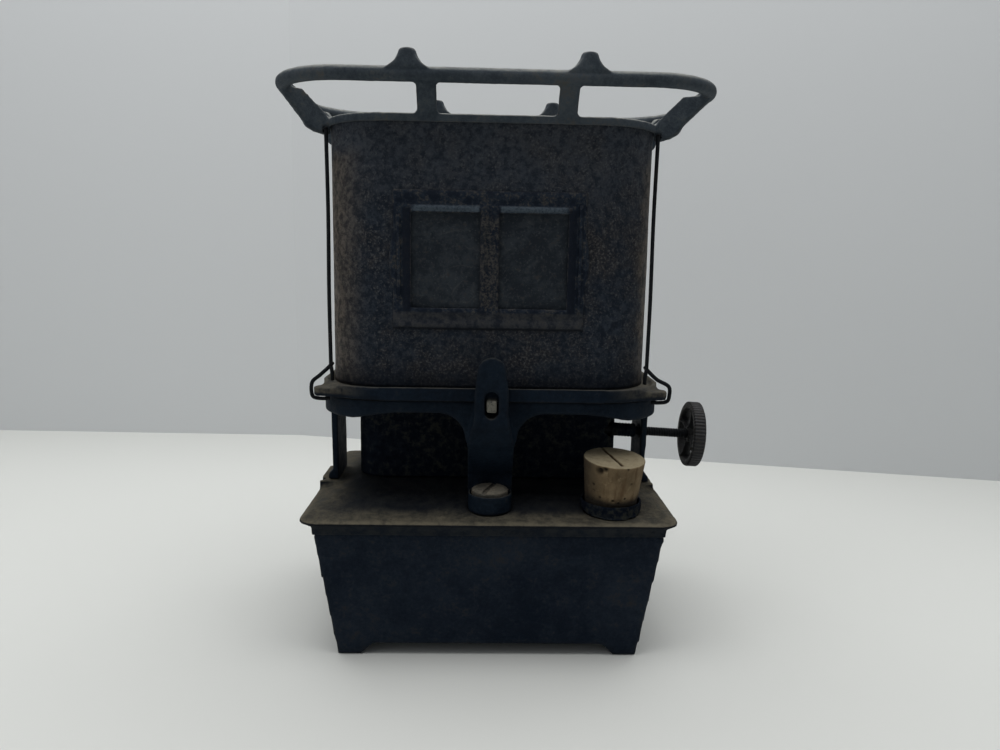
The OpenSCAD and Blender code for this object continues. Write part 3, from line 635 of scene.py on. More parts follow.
def wheel_paint():
    p = Paint("handwheel_worn_iron", specular=0.35)
    broad = p.noise(0.008, seed=28.0)
    fine = p.noise(0.0018, detail=7, rough=0.72, seed=29.0)
    base = p.mix(p.ramp(broad, 0.35, 0.65), srgb(18, 20, 25), srgb(34, 34, 36))
    base = p.mix(p.ramp(fine, 0.5, 0.66, 0, 0.65), base, srgb(52, 44, 38))
    base = p.mix(p.times(p.edges(0.51, 0.58), 0.45), base, srgb(74, 70, 64))
    # darker within the rim
    place = on_shaft() @ Matrix.Translation((0, 0, WHEEL_AT))
    off = p.add("VectorMath", operation="DISTANCE")
    p.plug(off.inputs[0], p.coords)
    off.inputs[1].default_value = place.translation
    base = p.mix(p.ramp(off.outputs["Value"], 0.0125, 0.0138, 0.8, 0), base, srgb(8, 10, 14))
    return p.done(base, p.ramp(fine, 0.3, 0.7, 0.5, 0.8), (fine, 0.0004))


PAINTS = {
    "cast": iron_paint("cast_iron_black", srgb(4, 14, 25), srgb(20, 31, 42), srgb(38, 37, 36),
                       srgb(58, 58, 55), rust_at=0.6, dust_share=0.7),
    "deck": iron_paint("cast_iron_deck", srgb(3, 12, 23), srgb(15, 27, 39), srgb(42, 40, 38),
                       srgb(72, 71, 66), rust_at=0.6, dust_share=0.75, lit=srgb(104, 102, 94)),
    "font": iron_paint("cast_iron_font", srgb(7, 18, 31), srgb(29, 38, 49), srgb(42, 41, 41),
                       srgb(70, 66, 58), rust_at=0.57, dust_share=0.8),
    # the grate's pale dust on upward faces is also a painted highlight along the rail tops
    "grate": iron_paint("cast_iron_scale", srgb(46, 53, 60), srgb(68, 75, 81), srgb(76, 73, 68),
                        srgb(146, 147, 142), rust_at=0.58, dust_share=0.85, pits=0.0003),
    "screw": iron_paint("screw_iron", srgb(52, 52, 50), srgb(88, 84, 76), srgb(104, 88, 70),
                        srgb(116, 110, 98), rust_at=0.56, dust_share=0.6),
    "tray": tray_paint(),
    "drum": drum_paint(),
    "window": window_paint(),
    "mica": mica_paint(),
    "wire": wire_paint(),
    "cork": cork_paint(),
    "burner": burner_paint(),
    "brass": brass_paint(),
    "wick": wick_paint(),
    "wheel": wheel_paint(),
}


# ---------------------------------------------------------------- castings


# piece: node, size of its voxels, layers of wear (depth, size of a lump, seed), paint, body, slot;
# lengths in millimetres
CASTINGS = {
    "font_body_cast": ("font_body", 1.5, ((0.15, 26, 1), (0.16, 3, 2)), "font", "base", "cast_iron"),
    "stand_casting": ("stand_frame", 0.9, ((0.3, 12, 11), (0.16, 2.6, 12)), "cast", "base", "cast_iron"),
    "deck_casting": ("deck_plate", 1.0, ((0.2, 14, 13), (0.22, 2.8, 14)), "deck", "base", "cast_iron"),
    "grate_casting": ("top_grate", 0.75, ((0.16, 9, 15), (0.16, 1.9, 16)), "grate", "base", "grate_iron"),
    "burner_shell_sooty": ("burner_shell", 0.8, ((0.25, 6, 17), (0.25, 1.6, 18)),
                           "burner", "base", "burner_iron"),
    "filler_collar_worn": ("filler_collar", 0.4, ((0.3, 4, 19), (0.2, 1.2, 20)),
                           "burner", "base", "cast_iron"),
    "foot_screws_slotted": ("foot_screws", 0.42, ((0.25, 3, 21), (0.15, 1.1, 22)),
                            "screw", "base", "tray_iron"),
    "wick_tube_brass": ("wick_tube", 0.8, ((0.08, 2, 23),), "brass", "base", "dull_brass"),
    "air_plate_brass": ("air_plate", 0.55, ((0.08, 2, 23),), "brass", "base", "dull_brass"),
    "flame_guide_brass": ("flame_guide", 0.55, ((0.08, 2, 23),), "brass", "base", "dull_brass"),
    "spur_wheels_brass": ("spur_wheels", 0.14, ((0.08, 2, 23),), "brass", "raiser", "dull_brass"),
    "mica_retainer_sheet": ("mica_retainer", 0.6, ((0.12, 5, 44),), "drum", "base", "drum_iron"),
}


def make_casting(name):
    node, voxel, wear, paint, body, slot = CASTINGS[name]
    obj = cast_copy(node, name, voxel * MM)
    sink(obj, *[(depth * MM, size * MM, seed) for depth, size, seed in wear])
    finish_piece(obj, PAINTS[paint], body, slot, node)


def make_font_top():
    """Tray with its folded band, which is wrinkled and lumpy under the tray's edge."""
    obj = cast_copy("font_top", "font_top_tray", 1.1 * MM)
    points, normals = points_of(obj.data), normals_of(obj.data)
    level = normals[:, 2] > 0.5
    depth = 0.25 * MM * fractal(points, 18 * MM, 5) + 0.3 * MM * fractal(points, 3.5 * MM, 6)
    band = (points[:, 2] < TRAY_EDGE_Z - 2.6 * MM) & (np.abs(normals[:, 2]) < 0.7)
    wrinkle = fractal(points * [0.22, 0.22, 1.6], 2.0 * MM, 8, 2)
    depth += band * 0.9 * MM * np.clip(wrinkle - 0.35, 0, 0.5)
    depth[level] *= 0.8
    set_points(obj.data, points - normals * depth[:, None])
    finish_piece(obj, PAINTS["tray"], "base", "tray_iron", "font_top")


def make_wick():
    """Woven strip whose burnt top edge is ragged."""
    obj = cast_copy("wick", "wick_woven", 0.9 * MM)
    points = points_of(obj.data)
    near_top = np.clip((points[:, 2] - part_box("wick")[1].z + 4 * MM) / (4 * MM), 0, 1)
    points[:, 2] -= 2.6 * MM * near_top * value_noise(points * [1, 0.2, 0.1], 2.2 * MM, 24)
    set_points(obj.data, points)
    finish_piece(obj, PAINTS["wick"], "wick", "cotton_wick", "wick")


# ---------------------------------------------------------------- drum and window


def outline(w, d, r, step):
    """Points and outward normals round a rectangle with round corners, about its middle."""
    found = []
    runs = [((w / 2 - r, -d / 2), (-1, 0), w - 2 * r, (0, -1)),
            ((-w / 2, -d / 2 + r), (0, 1), d - 2 * r, (-1, 0)),
            ((-w / 2 + r, d / 2), (1, 0), w - 2 * r, (0, 1)),
            ((w / 2, d / 2 - r), (0, -1), d - 2 * r, (1, 0))]
    corners = [((-w / 2 + r, -d / 2 + r), 270, 180), ((-w / 2 + r, d / 2 - r), 180, 90),
               ((w / 2 - r, d / 2 - r), 90, 0), ((w / 2 - r, -d / 2 + r), 360, 270)]
    for (start, way, length, normal), (centre, a0, a1) in zip(runs, corners):
        count = max(2, round(length / step))
        for k in range(count):
            t = length * k / count
            found.append(((start[0] + way[0] * t, start[1] + way[1] * t), normal))
        count = max(6, round(r * pi / 2 / step))
        for k in range(count):
            a = radians(a0 + (a1 - a0) * k / count)
            found.append(((centre[0] + r * cos(a), centre[1] + r * sin(a)), (cos(a), sin(a))))
    return found


def plate_faces(cells, rows, solid, ring=False):
    """Faces of a thin plate, whose points are two like grids, one behind the other. It is closed
    along every edge of solid(cell, row), which is false outside the grid."""
    n = cells if ring else cells + 1
    back = n * (rows + 1)
    faces = []
    for j in range(rows):
        for i in range(cells):
            if not solid(i, j):
                continue
            i2 = (i + 1) % n
            a, b, c, e = j * n + i, j * n + i2, (j + 1) * n + i2, (j + 1) * n + i
            faces += [[a, b, c, e], [back + a, back + e, back + c, back + b]]
            for di, dj, p, q in ((0, -1, a, b), (1, 0, b, c), (0, 1, c, e), (-1, 0, e, a)):
                if not solid((i + di) % n if ring else i + di, j + dj):
                    faces.append([p, back + p, back + q, q])
    return faces


def rise(values, start, over):
    """From nothing at start to one after a distance."""
    return np.clip((values - start) / over, 0, 1)


def make_drum():
    """Rolled sheet with shallow dents; the cells left out make the hole behind the window."""
    ring = outline(DRUM_HI.x - DRUM_LO.x, DRUM_HI.y - DRUM_LO.y, DRUM_R, 1.6 * MM)
    rows, n = 72, len(ring)
    levels = [DRUM_LO.z + (DRUM_HI.z - DRUM_LO.z) * j / rows for j in range(rows + 1)]
    flat = np.array([(x + MID_X, y, z) for z in levels for (x, y), _ in ring])
    out = np.array([normal + (0,) for _ in levels for _, normal in ring])
    x, y, z = flat.T
    dent = 0.55 * MM * fractal(flat, 32 * MM, 31, 2) + 0.12 * MM * fractal(flat, 5 * MM, 32, 2)
    # flat where the window frame, the rim and the deck hold the sheet
    free = rise(z, DRUM_LO.z, 8 * MM) * rise(-z, -DRUM_HI.z, 8 * MM)
    beside = rise(np.abs(x - WIN_X), (WIN_HI.x - WIN_LO.x) / 2, 10 * MM)
    above = rise(np.abs(z - WIN_Z), (WIN_HI.z - WIN_LO.z) / 2, 10 * MM)
    free *= np.where(y < DRUM_LO.y + 2 * MM, np.maximum(beside, above), 1)
    outer = flat - out * (dent * free + 0.02 * MM)[:, None]
    inner = outer - out * 0.9 * MM
    overlap = 4 * MM                         # the window frame's hold on the sheet

    def solid(i, j):
        if not 0 <= j < rows:
            return False
        px, py, pz = (flat[j * n + i] + flat[(j + 1) * n + (i + 1) % n]) / 2
        return not (py < DRUM_LO.y + MM and WIN_LO.x + overlap < px < WIN_HI.x - overlap
                    and WIN_LO.z + overlap < pz < WIN_HI.z - overlap)

    faces = plate_faces(n, rows, solid, ring=True)
    obj = tidy_normals(make_object("drum_sheet", np.concatenate([outer, inner]), faces))
    finish_piece(obj, PAINTS["drum"], "base", "drum_iron", "drum")


def tidy_normals(obj):
    bm = bmesh.new()
    bm.from_mesh(obj.data)
    loose = [v for v in bm.verts if not v.link_faces]
    bmesh.ops.delete(bm, geom=loose, context="VERTS")
    bmesh.ops.recalc_face_normals(bm, faces=bm.faces)
    bm.to_mesh(obj.data)
    bm.free()
    return obj


def bead(name, a, b, width, proud, y_back, seed):
    """Raised bead from a to b, given as (x, z), with tapering ends and an uneven back."""
    steps, sides = 26, 9
    way = Vector((b[0] - a[0], 0, b[1] - a[1]))
    along = way.normalized()
    across = Vector((-along.z, 0, along.x))
    rng = np.random.default_rng(seed)
    wobble = np.convolve(rng.random(steps + 5), np.ones(5) / 5, "valid") - 0.5
    verts, faces = [], []
    for i in range(steps + 1):
        t = i / steps
        p = Vector((a[0], y_back, a[1])) + way * t
        taper = min(1, 6 * t + 0.25, 6 * (1 - t) + 0.25)
        for k in range(sides):
            s = pi * k / (sides - 1)
            shift = across * (width / 2 * cos(s) + 0.3 * MM * wobble[i])
            verts.append(p + shift - Vector((0, proud * taper * sin(s) * (1 + 0.3 * wobble[i]), 0)))
    for i in range(steps):
        for k in range(sides - 1):
            faces.append([i * sides + k, (i + 1) * sides + k, (i + 1) * sides + k + 1, i * sides + k + 1])
        faces.append([i * sides, i * sides + sides - 1, (i + 1) * sides + sides - 1, (i + 1) * sides])
    faces.append(list(range(sides)))
    faces.append([steps * sides + k for k in range(sides)][::-1])
    return tidy_normals(make_object(name, verts, faces))


def spaced(lo, hi, step, *marks):
    """Even steps from lo to hi, moved so that every mark is one of them."""
    found = np.linspace(lo, hi, round((hi - lo) / step) + 1)
    for mark in marks:
        found[np.argmin(np.abs(found - mark))] = mark
    return found


def hump(values, middle, width):
    return np.exp(-((values - middle) / width) ** 2)


def window_lift(grid, edge):
    """How far the frame stands off the drum at each point of its grid."""
    x, z = grid[:, 0], grid[:, 2]
    gap = np.minimum(*[np.maximum(np.maximum(lo - x, x - hi), np.maximum(PANE_LOW - z, z - PANE_HIGH))
                       for lo, hi in PANES])
    # outer skirt lies on the drum, then a raised border, then a lip round each pane
    lift = 0.35 * MM + 0.75 * MM * rise(edge, 0, 2.2 * MM) ** 0.7
    lift += 0.45 * MM * hump(gap, 1.5 * MM, 1.1 * MM)
    lift -= 0.35 * MM * hump(gap, 4.6 * MM, 1.6 * MM) * (edge > 2 * MM)
    lift += 0.28 * MM * (fractal(grid, 7 * MM, 41) - 0.5) + 0.12 * MM * (fractal(grid, 1.6 * MM, 42) - 0.5)
    # the lower left corner is bent off the drum
    corner = np.hypot((x - WIN_LO.x - 5 * MM) / (8 * MM), (z - WIN_LO.z) / (3 * MM))
    lift += 0.6 * MM * np.clip(1 - corner, 0, 1)
    return np.clip(lift, 0.2 * MM, WIN_HI.y - WIN_LO.y - 0.02 * MM)


def window_plate():
    """Thin pressed sheet with two openings and a tear in its lower border."""
    x0, x1, z0, z1 = WIN_LO.x, WIN_HI.x, WIN_LO.z, WIN_HI.z
    xs = spaced(x0, x1, 0.8 * MM, *PANES[0], *PANES[1])
    zs = spaced(z0, z1, 0.8 * MM, PANE_LOW, PANE_HIGH)
    grid = np.array([(x, 0, z) for z in zs for x in xs])
    gx, gz = grid[:, 0], grid[:, 2]
    edge = np.minimum(np.minimum(gx - x0, x1 - gx), np.minimum(gz - z0, z1 - gz))
    outer = grid.copy()
    outer[:, 1] = WIN_HI.y - window_lift(grid, edge)
    # the rim runs a little unevenly, and the sides swell out half way up
    uneven = 0.5 * MM * (value_noise(grid, 12 * MM, 43) - 0.5) * (1 - rise(edge, 0, 2 * MM))
    outer[:, 0] += np.where((gx - x0 < MM) | (x1 - gx < MM), np.abs(uneven) * np.sign(WIN_X - gx), 0)
    outer[:, 2] += np.where((gz - z0 < MM) | (z1 - gz < MM), np.abs(uneven) * np.sign(WIN_Z - gz), 0)
    swell = np.clip(1 - ((gz - WIN_Z) / (12 * MM)) ** 2, 0, 1) * (1 - rise(edge, 0, 5 * MM))
    outer[:, 0] += 0.9 * SWELL * swell * np.sign(gx - WIN_X)
    inner = outer.copy()
    inner[:, 1] = np.minimum(outer[:, 1] + 0.7 * MM, WIN_HI.y)
    nx, nz = len(xs) - 1, len(zs) - 1

    def solid(i, j):
        if not (0 <= i < nx and 0 <= j < nz):
            return False
        x, z = (xs[i] + xs[i + 1]) / 2, (zs[j] + zs[j + 1]) / 2
        if any(lo < x < hi for lo, hi in PANES) and PANE_LOW < z < PANE_HIGH:
            return False
        return not (x0 + 3 * MM < x < x0 + 9.5 * MM and z < z0 + 0.9 * MM)

    faces = plate_faces(nx, nz, solid)
    return tidy_normals(make_object("window_plate", np.concatenate([outer, inner]), faces))


def make_window():
    """The pressed plate, with a bead over each pane and one down each side."""
    (left, left_end), (right, right_end) = PANES
    y = WIN_HI.y - 1.2 * MM
    room = y - WIN_LO.y - 0.03 * MM
    # from and to as (x, z), width, and share of the room that it stands proud by
    runs = (((left - 1.5 * MM, PANE_HIGH + 2.1 * MM), (left_end - 2 * MM, PANE_HIGH + 1.9 * MM), 1.7, 0.8),
            ((right - 1.2 * MM, PANE_HIGH + 1.9 * MM), (right_end + 1.5 * MM, PANE_HIGH + 1.6 * MM), 2.3, 1),
            ((right_end + 5.2 * MM, PANE_HIGH + 4 * MM), (right_end + 5.4 * MM, PANE_LOW - 2 * MM), 1.4, 0.7),
            ((left - 5.5 * MM, PANE_HIGH - MM), (left - 5.2 * MM, PANE_LOW + 4 * MM), 1.5, 0.5))
    beads = [bead(f"bead_{k}", a, b, width * MM, room * share, y, k + 1)
             for k, (a, b, width, share) in enumerate(runs)]
    obj = join_meshes("window_frame_pressed", [window_plate(), *beads])
    finish_piece(obj, PAINTS["window"], "base", "window_iron", "window_frame")


def make_mica(node, name, seed):
    """Thin pane that has bowed and cockled."""
    lo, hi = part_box(node)
    cols, rows = 26, 34
    depth = hi.y - lo.y
    flat = np.array([(lo.x + (hi.x - lo.x) * i / cols, lo.y, lo.z + (hi.z - lo.z) * j / rows)
                     for j in range(rows + 1) for i in range(cols + 1)])
    front = flat.copy()
    front[:, 1] += depth * 0.55 * fractal(flat, 9 * MM, seed, 2)
    back = front + (0, depth * 0.35, 0)
    faces = plate_faces(cols, rows, lambda i, j: 0 <= i < cols and 0 <= j < rows)
    obj = tidy_normals(make_object(name, np.concatenate([front, back]), faces))
    finish_piece(obj, PAINTS["mica"], "base", "mica", node)


def loose_solids(mesh):
    """Points of each solid of a mesh, found by walking along its edges."""
    bm = bmesh.new()
    bm.from_mesh(mesh)
    bmesh.ops.remove_doubles(bm, verts=bm.verts, dist=1e-6)
    seen, groups = set(), []
    for start in bm.verts:
        if start in seen:
            continue
        seen.add(start)
        todo, group = [start], []
        while todo:
            v = todo.pop()
            group.append(v.co.copy())
            near = [e.other_vert(v) for e in v.link_edges]
            todo += [other for other in near if other not in seen]
            seen.update(near)
        groups.append(group)
    bm.free()
    return groups


def rivet_heads(node, name, radius):
    """Uneven domed heads in place of a node's rivets, which face the rear."""
    heads = []
    for k, group in enumerate(loose_solids(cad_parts[node].data)):
        lo = Vector([min(p[i] for p in group) for i in range(3)])
        hi = Vector([max(p[i] for p in group) for i in range(3)])
        place = (Matrix.Translation(((lo.x + hi.x) / 2, lo.y, (lo.z + hi.z) / 2))
                 @ Matrix.Rotation(-pi / 2, 4, "X"))
        tall = hi.y - lo.y
        profile = [(radius * cos(a), tall * sin(a)) for a in [pi / 2 * i / 7 for i in range(7)]]
        profile.append((radius * 0.12, tall * 0.995))
        heads.append(lathe(f"head_{k}", profile, 20, place,
                           lambda a, row, k=k: 1 + 0.05 * sin(2 * a + k) + 0.03 * sin(5 * a + 2 * k)))
    obj = tidy_normals(join_meshes(name, heads))
    finish_piece(obj, PAINTS["drum"], "base", "drum_iron", node)


# ---------------------------------------------------------------- wires


ARM_FOOT, ARM_TURN = (57.5, 16), radians(23)    # where a grate arm starts, in mm, and its direction
TIE_HOLE = (18.3, 2.9)                          # the hole: along the arm, and below the drum's top, in mm


def make_wire(sx, sy, node, name):
    """Wire from a grate arm down the drum's corner, split at a kink and hooked round the deck's ear.
    The routes are chosen in mm to the right and back of the stove's middle and up."""
    lip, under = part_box("deck_plate")[1].z / MM, DECK_UNDER / MM
    out = EAR_END / MM + sx + 1                 # the deck sits 1 mm to the right

    def at(x, y, z):
        return Vector((MID_X + sx * x * MM, sy * y * MM, z * MM))

    def off(x, y, z):
        return Vector((sx * x * MM, sy * y * MM, z * MM))

    along, below = TIE_HOLE
    hole = at(ARM_FOOT[0] + along * cos(ARM_TURN), ARM_FOOT[1] + along * sin(ARM_TURN),
              DRUM_HI.z / MM - below)
    across = off(-3.3 * sin(ARM_TURN), 3.3 * cos(ARM_TURN), 0)
    top, kink = hole + across, at(70.6, 37, 131)
    main = [hole - across, hole, top, top.lerp(kink, 0.03) + off(0, 0, -1.2),
            top.lerp(kink, 0.35) + off(-0.2, 0, 0), top.lerp(kink, 0.7) + off(0.15, 0, 0), kink]
    hook = [kink + off(-0.9, 0.5, 1.6), kink + off(0.9, -0.2, -0.4), at(75.4, 38.2, 127),
            at(out - 0.5, 38.8, lip), at(out, 38.8, under + 1.8), at(out - 1, 38.8, under - 0.8),
            at(out - 4.6, 38.8, under - 1.4), at(out - 8, 38.6, under - 1.3)]
    foot = [kink, kink + off(-0.5, 0.5, -2.4), at(70, 37, lip + 0.6)]
    parts = [swept("wire", spline(path, steps), 0.88 * MM)
             for path, steps in ((main, 8), (hook, 8), (foot, 6))]
    obj = tidy_normals(join_meshes(name, parts))
    finish_piece(obj, PAINTS["wire"], "base", "wire_iron", node)


# ---------------------------------------------------------------- cork, shaft and handwheel

CORK_R, CORK_LENGTH, CORK_ABOVE = 14 * MM, 34 * MM, 19.6 * MM     # top radius, and height above the collar
CORK_TAPER = 0.1                                # loss of radius with depth
CORK_FOOT_R = CORK_R - CORK_TAPER * CORK_LENGTH
SLIT_FROM, SLIT_TO = np.array((-3.8, 12.6)) * MM, np.array((2.0, -10)) * MM   # from the cork's axis
# chips and pores: angle round the cork, height above its foot, radius and depth in mm
CORK_CHIPS = ((-127, 31.2, 1.8, 1.7), (-116, 32.5, 1.4, 1.4), (-96, 18, 0.6, 1.0),
              (-124, 18.6, 0.55, 0.8), (-84, 17, 0.5, 0.7), (-60, 26, 0.5, 0.6),
              (-140, 24, 0.6, 0.6), (20, 27, 1.0, 1.0), (95, 25, 0.9, 0.9))


def cork_slit(points):
    """Share of the slit at each point of the top, and its distance from the slit's middle."""
    length = np.linalg.norm(SLIT_TO - SLIT_FROM)
    way = (SLIT_TO - SLIT_FROM) / length
    rel = points[:, :2] - SLIT_FROM
    off = rel[:, 0] * way[1] - rel[:, 1] * way[0] + 0.5 * MM * (value_noise(points, 3 * MM, 53) - 0.5)
    along = rel @ way
    on_top = points[:, 2] > CORK_LENGTH - 0.9 * MM
    return on_top * rise(along, -0.8 * MM, MM) * rise(-along, -length - 0.6 * MM, MM), off


def make_cork():
    """Tapered stopper with rounded rims, a slit across the top, chips and pores."""
    obj = lathe("cork_stopper", cork_profile(), 180, Matrix.Identity(4))
    points, normals = points_of(obj.data), normals_of(obj.data)
    depth = 0.32 * MM * fractal(points * [1, 1, 0.4], 3.2 * MM, 51)
    depth += 0.1 * MM * fractal(points, 0.9 * MM, 52)
    share, off = cork_slit(points)
    points[:, 2] -= 1.4 * MM * share * hump(off, 0, 0.45 * MM)
    darkening = share * np.exp(-(off / (0.5 * MM)) ** 4)
    for angle, z, size, deep in CORK_CHIPS:
        a, r = radians(angle), CORK_FOOT_R + CORK_TAPER * z * MM
        spot = np.array([r * cos(a), r * sin(a), z * MM])
        share = np.exp(-(np.linalg.norm((points - spot) * [1, 1, 1.2], axis=1) / (size * MM)) ** 4)
        depth += deep * MM * share
        darkening = np.maximum(darkening, share * 0.9)
    set_points(obj.data, points - normals * depth[:, None])
    hollow_layer = obj.data.attributes.new("hollow", "FLOAT", "POINT")
    hollow_layer.data.foreach_set("value", darkening.astype(np.float32))
    # it leans back and a little to the right
    obj.data.transform(Matrix.Translation((CORK_X, -42 * MM, TRAY_EDGE_Z + 6.4 * MM))
                       @ Matrix.Rotation(radians(2), 4, "Y") @ Matrix.Rotation(radians(5), 4, "X")
                       @ Matrix.Translation((0, 0, CORK_ABOVE - CORK_LENGTH)))
    finish_piece(tidy_normals(obj), PAINTS["cork"], "base", "cork", "cork")


def quarter(steps):
    """Sine and cosine at even steps through a quarter turn."""
    return [(sin(pi / 2 * k / steps), cos(pi / 2 * k / steps)) for k in range(steps + 1)]


def cork_profile():
    """Outline of the stopper as (radius, height), with rounded rims and a fine level top."""
    low, high = 0.5 * MM, 0.7 * MM              # rounding of the two rims
    profile = [(CORK_FOOT_R - low * (1 - s), low * (1 - c)) for s, c in quarter(4)]
    rows = 74
    for k in range(1, rows):
        z = low + (CORK_LENGTH - low - high) * k / rows
        profile.append((CORK_FOOT_R + CORK_TAPER * z, z))
    profile += [(CORK_R - 0.75 * MM * (1 - c) - 0.05 * MM, CORK_LENGTH - high * (1 - s))
                for s, c in quarter(5)]
    rings = 56
    return profile + [((CORK_R - 0.8 * MM) * (1 - k / rings), CORK_LENGTH) for k in range(1, rings)]


def make_shaft():
    """Shaft, plain inside the burner and threaded outside it. Heights are along the shaft."""
    r, chamfer = 2.35 * MM, 0.3 * MM
    start, end = -99.9 * MM, (SHAFT_END - MID_X - SHELL_END) / cos(DROOP) - 0.15 * MM
    pitch, depth = 1.25 * MM, 0.42 * MM
    thread_from, thread_to = 6 * MM, 37 * MM
    heights = np.arange(thread_from, thread_to, pitch / 10)
    plain_run = [(r, z) for z in np.linspace(start + MM, thread_from - MM, 40)]
    profile = [(r - chamfer, start), (r, start + chamfer), *plain_run, *[(r, z) for z in heights],
               (r, thread_to + 0.5 * MM), (r, end - 0.4 * MM), (r - 0.4 * MM, end)]
    first = 2 + len(plain_run)

    def thread(a, row):
        if not first <= row < first + len(heights):
            return 1
        z = heights[row - first]
        fade = min(1, (z - thread_from) / (2 * pitch), (thread_to - z) / (2 * pitch))
        saw = abs(((z / pitch - a / (2 * pi)) % 1) - 0.5) * 2
        return 1 - depth / r * saw * fade

    obj = tidy_normals(lathe("raiser_shaft_threaded", profile, 28, on_shaft(), thread))
    finish_piece(obj, PAINTS["wire"], "raiser", "wire_iron", "raiser_shaft")


def make_gland():
    """Packing gland: a turned sleeve with a rolled end and a few thread rings."""
    outer, inner, length = 3.45 * MM, 2.5 * MM, 8.9 * MM
    rows = [(inner, -2.4 * MM), (outer, -2.4 * MM)]
    rows += [(outer - 0.32 * MM * (0.5 - 0.5 * cos(2 * pi * z / (1.5 * MM))), z)
             for z in np.linspace(1 * MM, length - 1.6 * MM, 36)]
    rows += [(outer, length - 1.2 * MM), (outer, length - 0.3 * MM), (outer - 0.3 * MM, length),
             (inner, length), (inner, -2.4 * MM)]
    sides = 32
    place = on_shaft()
    turns = [2 * pi * k / sides for k in range(sides)]
    verts = [place @ Vector((r * cos(a), r * sin(a), z)) for r, z in rows for a in turns]
    obj = make_object("shaft_gland_turned", verts, tube_faces(len(rows), sides))
    weld(obj.data, 1e-7)
    tidy_normals(obj)
    finish_piece(obj, PAINTS["burner"], "base", "burner_iron", "shaft_gland")


RIM_R, RIM_IN, RIM_HALF = 16.15 * MM, 12.8 * MM, 2.85 * MM     # handwheel: radii and half its breadth


def make_handwheel():
    """Dished wheel with a broad milled rim, four spokes and a hub with its nut."""
    place = on_shaft() @ Matrix.Translation((0, 0, WHEEL_AT))
    hub_profile = ((2.5, -2.35), (3.6, -2.3), (4.1, -1.8), (4.15, 1.4), (3.9, 2.2), (3.1, 2.9), (2.5, 2.95))
    parts = [milled_rim(place), lathe("hub", [(r * MM, z * MM) for r, z in hub_profile], 40, place)]
    for a in range(20, 380, 90):
        way = Vector((-sin(radians(a)), cos(radians(a)), 0))
        path = [place @ (way * t * MM + Vector((0, 0, 0.35 * MM * cos(t / 4))))
                for t in np.linspace(3.4, 13.2, 12)]
        parts.append(swept("spoke", path, lambda t: (2.1 + 1.2 * (2 * t - 1) ** 4) * MM, 14, 0.6))
    obj = tidy_normals(join_meshes("handwheel_milled", parts))
    sink(obj, (0.12 * MM, 3 * MM, 61))
    finish_piece(obj, PAINTS["wheel"], "raiser", "wheel_iron", "handwheel")


def milled_rim(place):
    """Ring with rounded edges and fine teeth across its outer face."""
    edge, bevel = 0.7 * MM, 0.5 * MM
    profile = [(RIM_R - edge * (1 - s), -RIM_HALF + edge * (1 - c)) for s, c in quarter(6)]
    profile += [(RIM_R - edge * (1 - c), RIM_HALF - edge * (1 - s)) for s, c in quarter(6)]
    profile += [(RIM_IN + bevel, RIM_HALF), (RIM_IN, RIM_HALF - bevel), (RIM_IN - 0.35 * MM, 0),
                (RIM_IN, -RIM_HALF + bevel), (RIM_IN + bevel, -RIM_HALF)]
    teeth = 60
    sides = teeth * 6
    verts = []
    for r, z in profile:
        for k in range(sides):
            a = 2 * pi * k / sides
            mill = 0.36 * MM * (0.5 - 0.5 * cos(teeth * a)) if r > RIM_R - 0.6 * MM else 0
            worn = r - mill - 0.06 * MM * (1 + sin(3 * a + 1))
            verts.append(place @ Vector((worn * cos(a), worn * sin(a), z)))
    return make_object("rim", verts, tube_faces(len(profile), sides, closed=True))


# ---------------------------------------------------------------- surroundings


def plain(name, colour):
    """Matt surface."""
    return Paint(name, specular=0.1).done(colour, 0.9)


def make_stage():
    """Pale table, and a low pale wall that turns a corner behind the stove."""
    half, tall = 1.6, 0.62
    floor = make_object("table_top",
                        [(-half, -half, 0), (half, -half, 0), (half, half, 0), (-half, half, 0)],
                        [[0, 1, 2, 3]])
    floor.data.materials.append(plain("pale_table", srgb(209, 210, 206)))
    corners = ((-1.4, 0.382), (-0.189, 0.359), (0.428, 0.229), (1.0, 0.11))
    verts = [(x, y, z) for x, y in corners for z in (0, tall)]
    faces = [[2 * k, 2 * k + 2, 2 * k + 3, 2 * k + 1] for k in range(len(corners) - 1)]
    wall = make_object("wall", verts, faces)
    smooth(wall, False)
    wall.data.materials.append(open_backed("pale_wall", srgb(207, 209, 210)))


def open_backed(name, colour):
    """Matt wall that is seen only from its front, so that it never hides the stove."""
    p = Paint(name, specular=0.05)
    p.done(colour, 0.95)
    back = p.add("NewGeometry").outputs["Backfacing"]
    both = p.add("MixShader")
    p.plug(both.inputs[0], back)
    p.plug(both.inputs[1], p.shader.outputs[0])
    p.plug(both.inputs[2], p.add("BsdfTransparent").outputs[0])
    p.plug(p.nodes["Material Output"].inputs["Surface"], both.outputs[0])
    return p.material


OVERHEAD, LEFT, FILL = 11.5, 1.6, 0.22      # lamp powers in watts and the sky's strength


def area_light(name, at, toward, width, height, power):
    data = bpy.data.lights.new(name, "AREA")
    data.shape, data.size, data.size_y, data.energy = "RECTANGLE", width, height, power
    obj = bpy.data.objects.new(name, data)
    obj.location = at
    obj.rotation_euler = (Vector(toward) - Vector(at)).to_track_quat("-Z", "Y").to_euler()
    bpy.context.scene.collection.objects.link(obj)


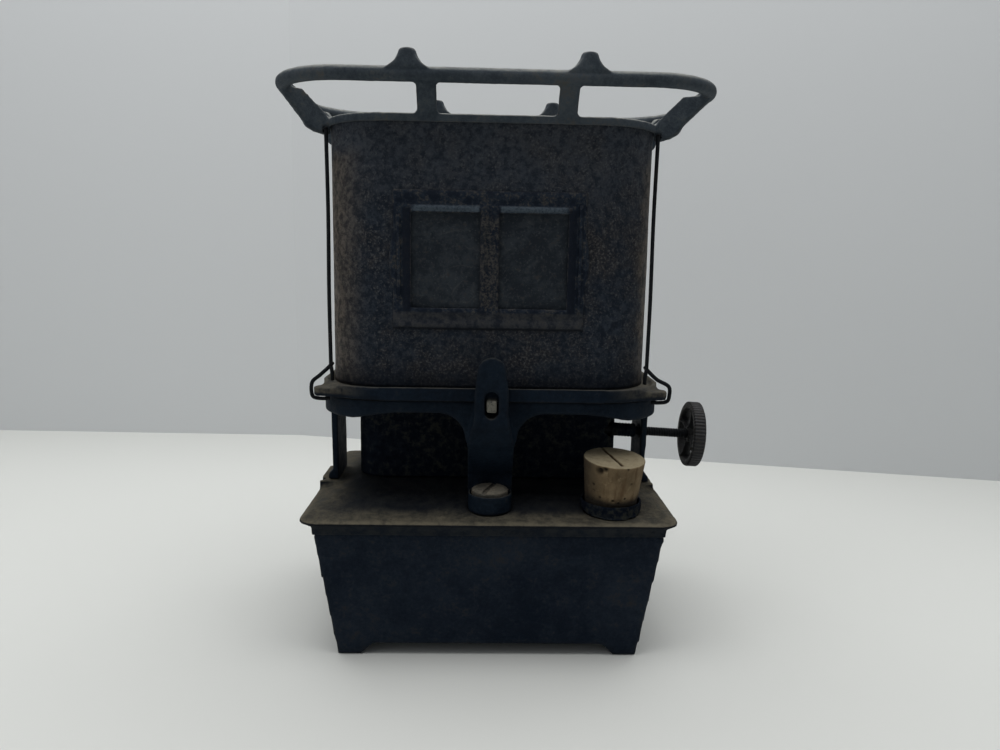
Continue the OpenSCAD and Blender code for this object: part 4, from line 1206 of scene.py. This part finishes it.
def make_lights():
    area_light("overhead", (0.0, 0.0, 1.0), (0, 0.02, 0.1), 1.3, 0.9, OVERHEAD)
    area_light("left_window", (-1.0, -0.5, 0.7), (0, 0, 0.12), 0.7, 0.7, LEFT)
    world = bpy.data.worlds.new("studio")
    bpy.context.scene.world = world
    world.use_nodes = True
    nodes, links = world.node_tree.nodes, world.node_tree.links
    fill = nodes["Background"]
    fill.inputs["Color"].default_value = (0.9, 0.95, 1.0, 1)
    fill.inputs["Strength"].default_value = FILL
    # the camera sees a pale sky above and beyond the wall
    pale = nodes.new("ShaderNodeBackground")
    pale.inputs["Color"].default_value = srgb(194, 197, 199)
    seen = nodes.new("ShaderNodeLightPath").outputs["Is Camera Ray"]
    both = nodes.new("ShaderNodeMixShader")
    links.new(seen, both.inputs[0])
    links.new(fill.outputs[0], both.inputs[1])
    links.new(pale.outputs[0], both.inputs[2])
    links.new(both.outputs[0], nodes["World Output"].inputs["Surface"])


def make_camera():
    """The photographed viewpoint: a little above the middle, close in front."""
    pitch, yaw, roll = radians(9.288), radians(1.429), radians(1.037)
    place = Vector((-9.606, -367.898, 182.122)) * MM
    ahead0, right0 = Vector((sin(yaw), cos(yaw), 0)), Vector((cos(yaw), -sin(yaw), 0))
    up0 = Vector((0, 0, 1))
    ahead = cos(pitch) * ahead0 - sin(pitch) * up0
    up = sin(pitch) * ahead0 + cos(pitch) * up0
    right_axis = cos(roll) * right0 + sin(roll) * up
    up_axis = -sin(roll) * right0 + cos(roll) * up
    camera = bpy.data.cameras.new("camera")
    camera.lens, camera.sensor_width, camera.sensor_fit = 26.92, 36, "HORIZONTAL"
    camera.clip_start = 0.01
    obj = bpy.data.objects.new("camera", camera)
    turned = Matrix((right_axis, up_axis, -ahead)).transposed().to_4x4()
    obj.matrix_world = Matrix.Translation(place) @ turned
    bpy.context.scene.collection.objects.link(obj)
    bpy.context.scene.camera = obj


def make_stove():
    for name in CASTINGS:
        make_casting(name)
    make_font_top()
    make_wick()
    make_drum()
    make_window()
    make_mica("mica_left", "mica_pane_left", 45)
    make_mica("mica_right", "mica_pane_right", 47)
    rivet_heads("drum_rivets", "drum_rivet_heads", 1.9 * MM)
    for sy, end in ((-1, "front"), (1, "rear")):
        for sx, hand in ((-1, "left"), (1, "right")):
            make_wire(sx, sy, f"tie_wire_{end}_{hand}", f"wire_{end}_{hand}")
    make_cork()
    make_shaft()
    make_gland()
    make_handwheel()


make_camera()
make_stage()
make_lights()
make_stove()
bpy.context.scene.view_settings.view_transform = "Standard"
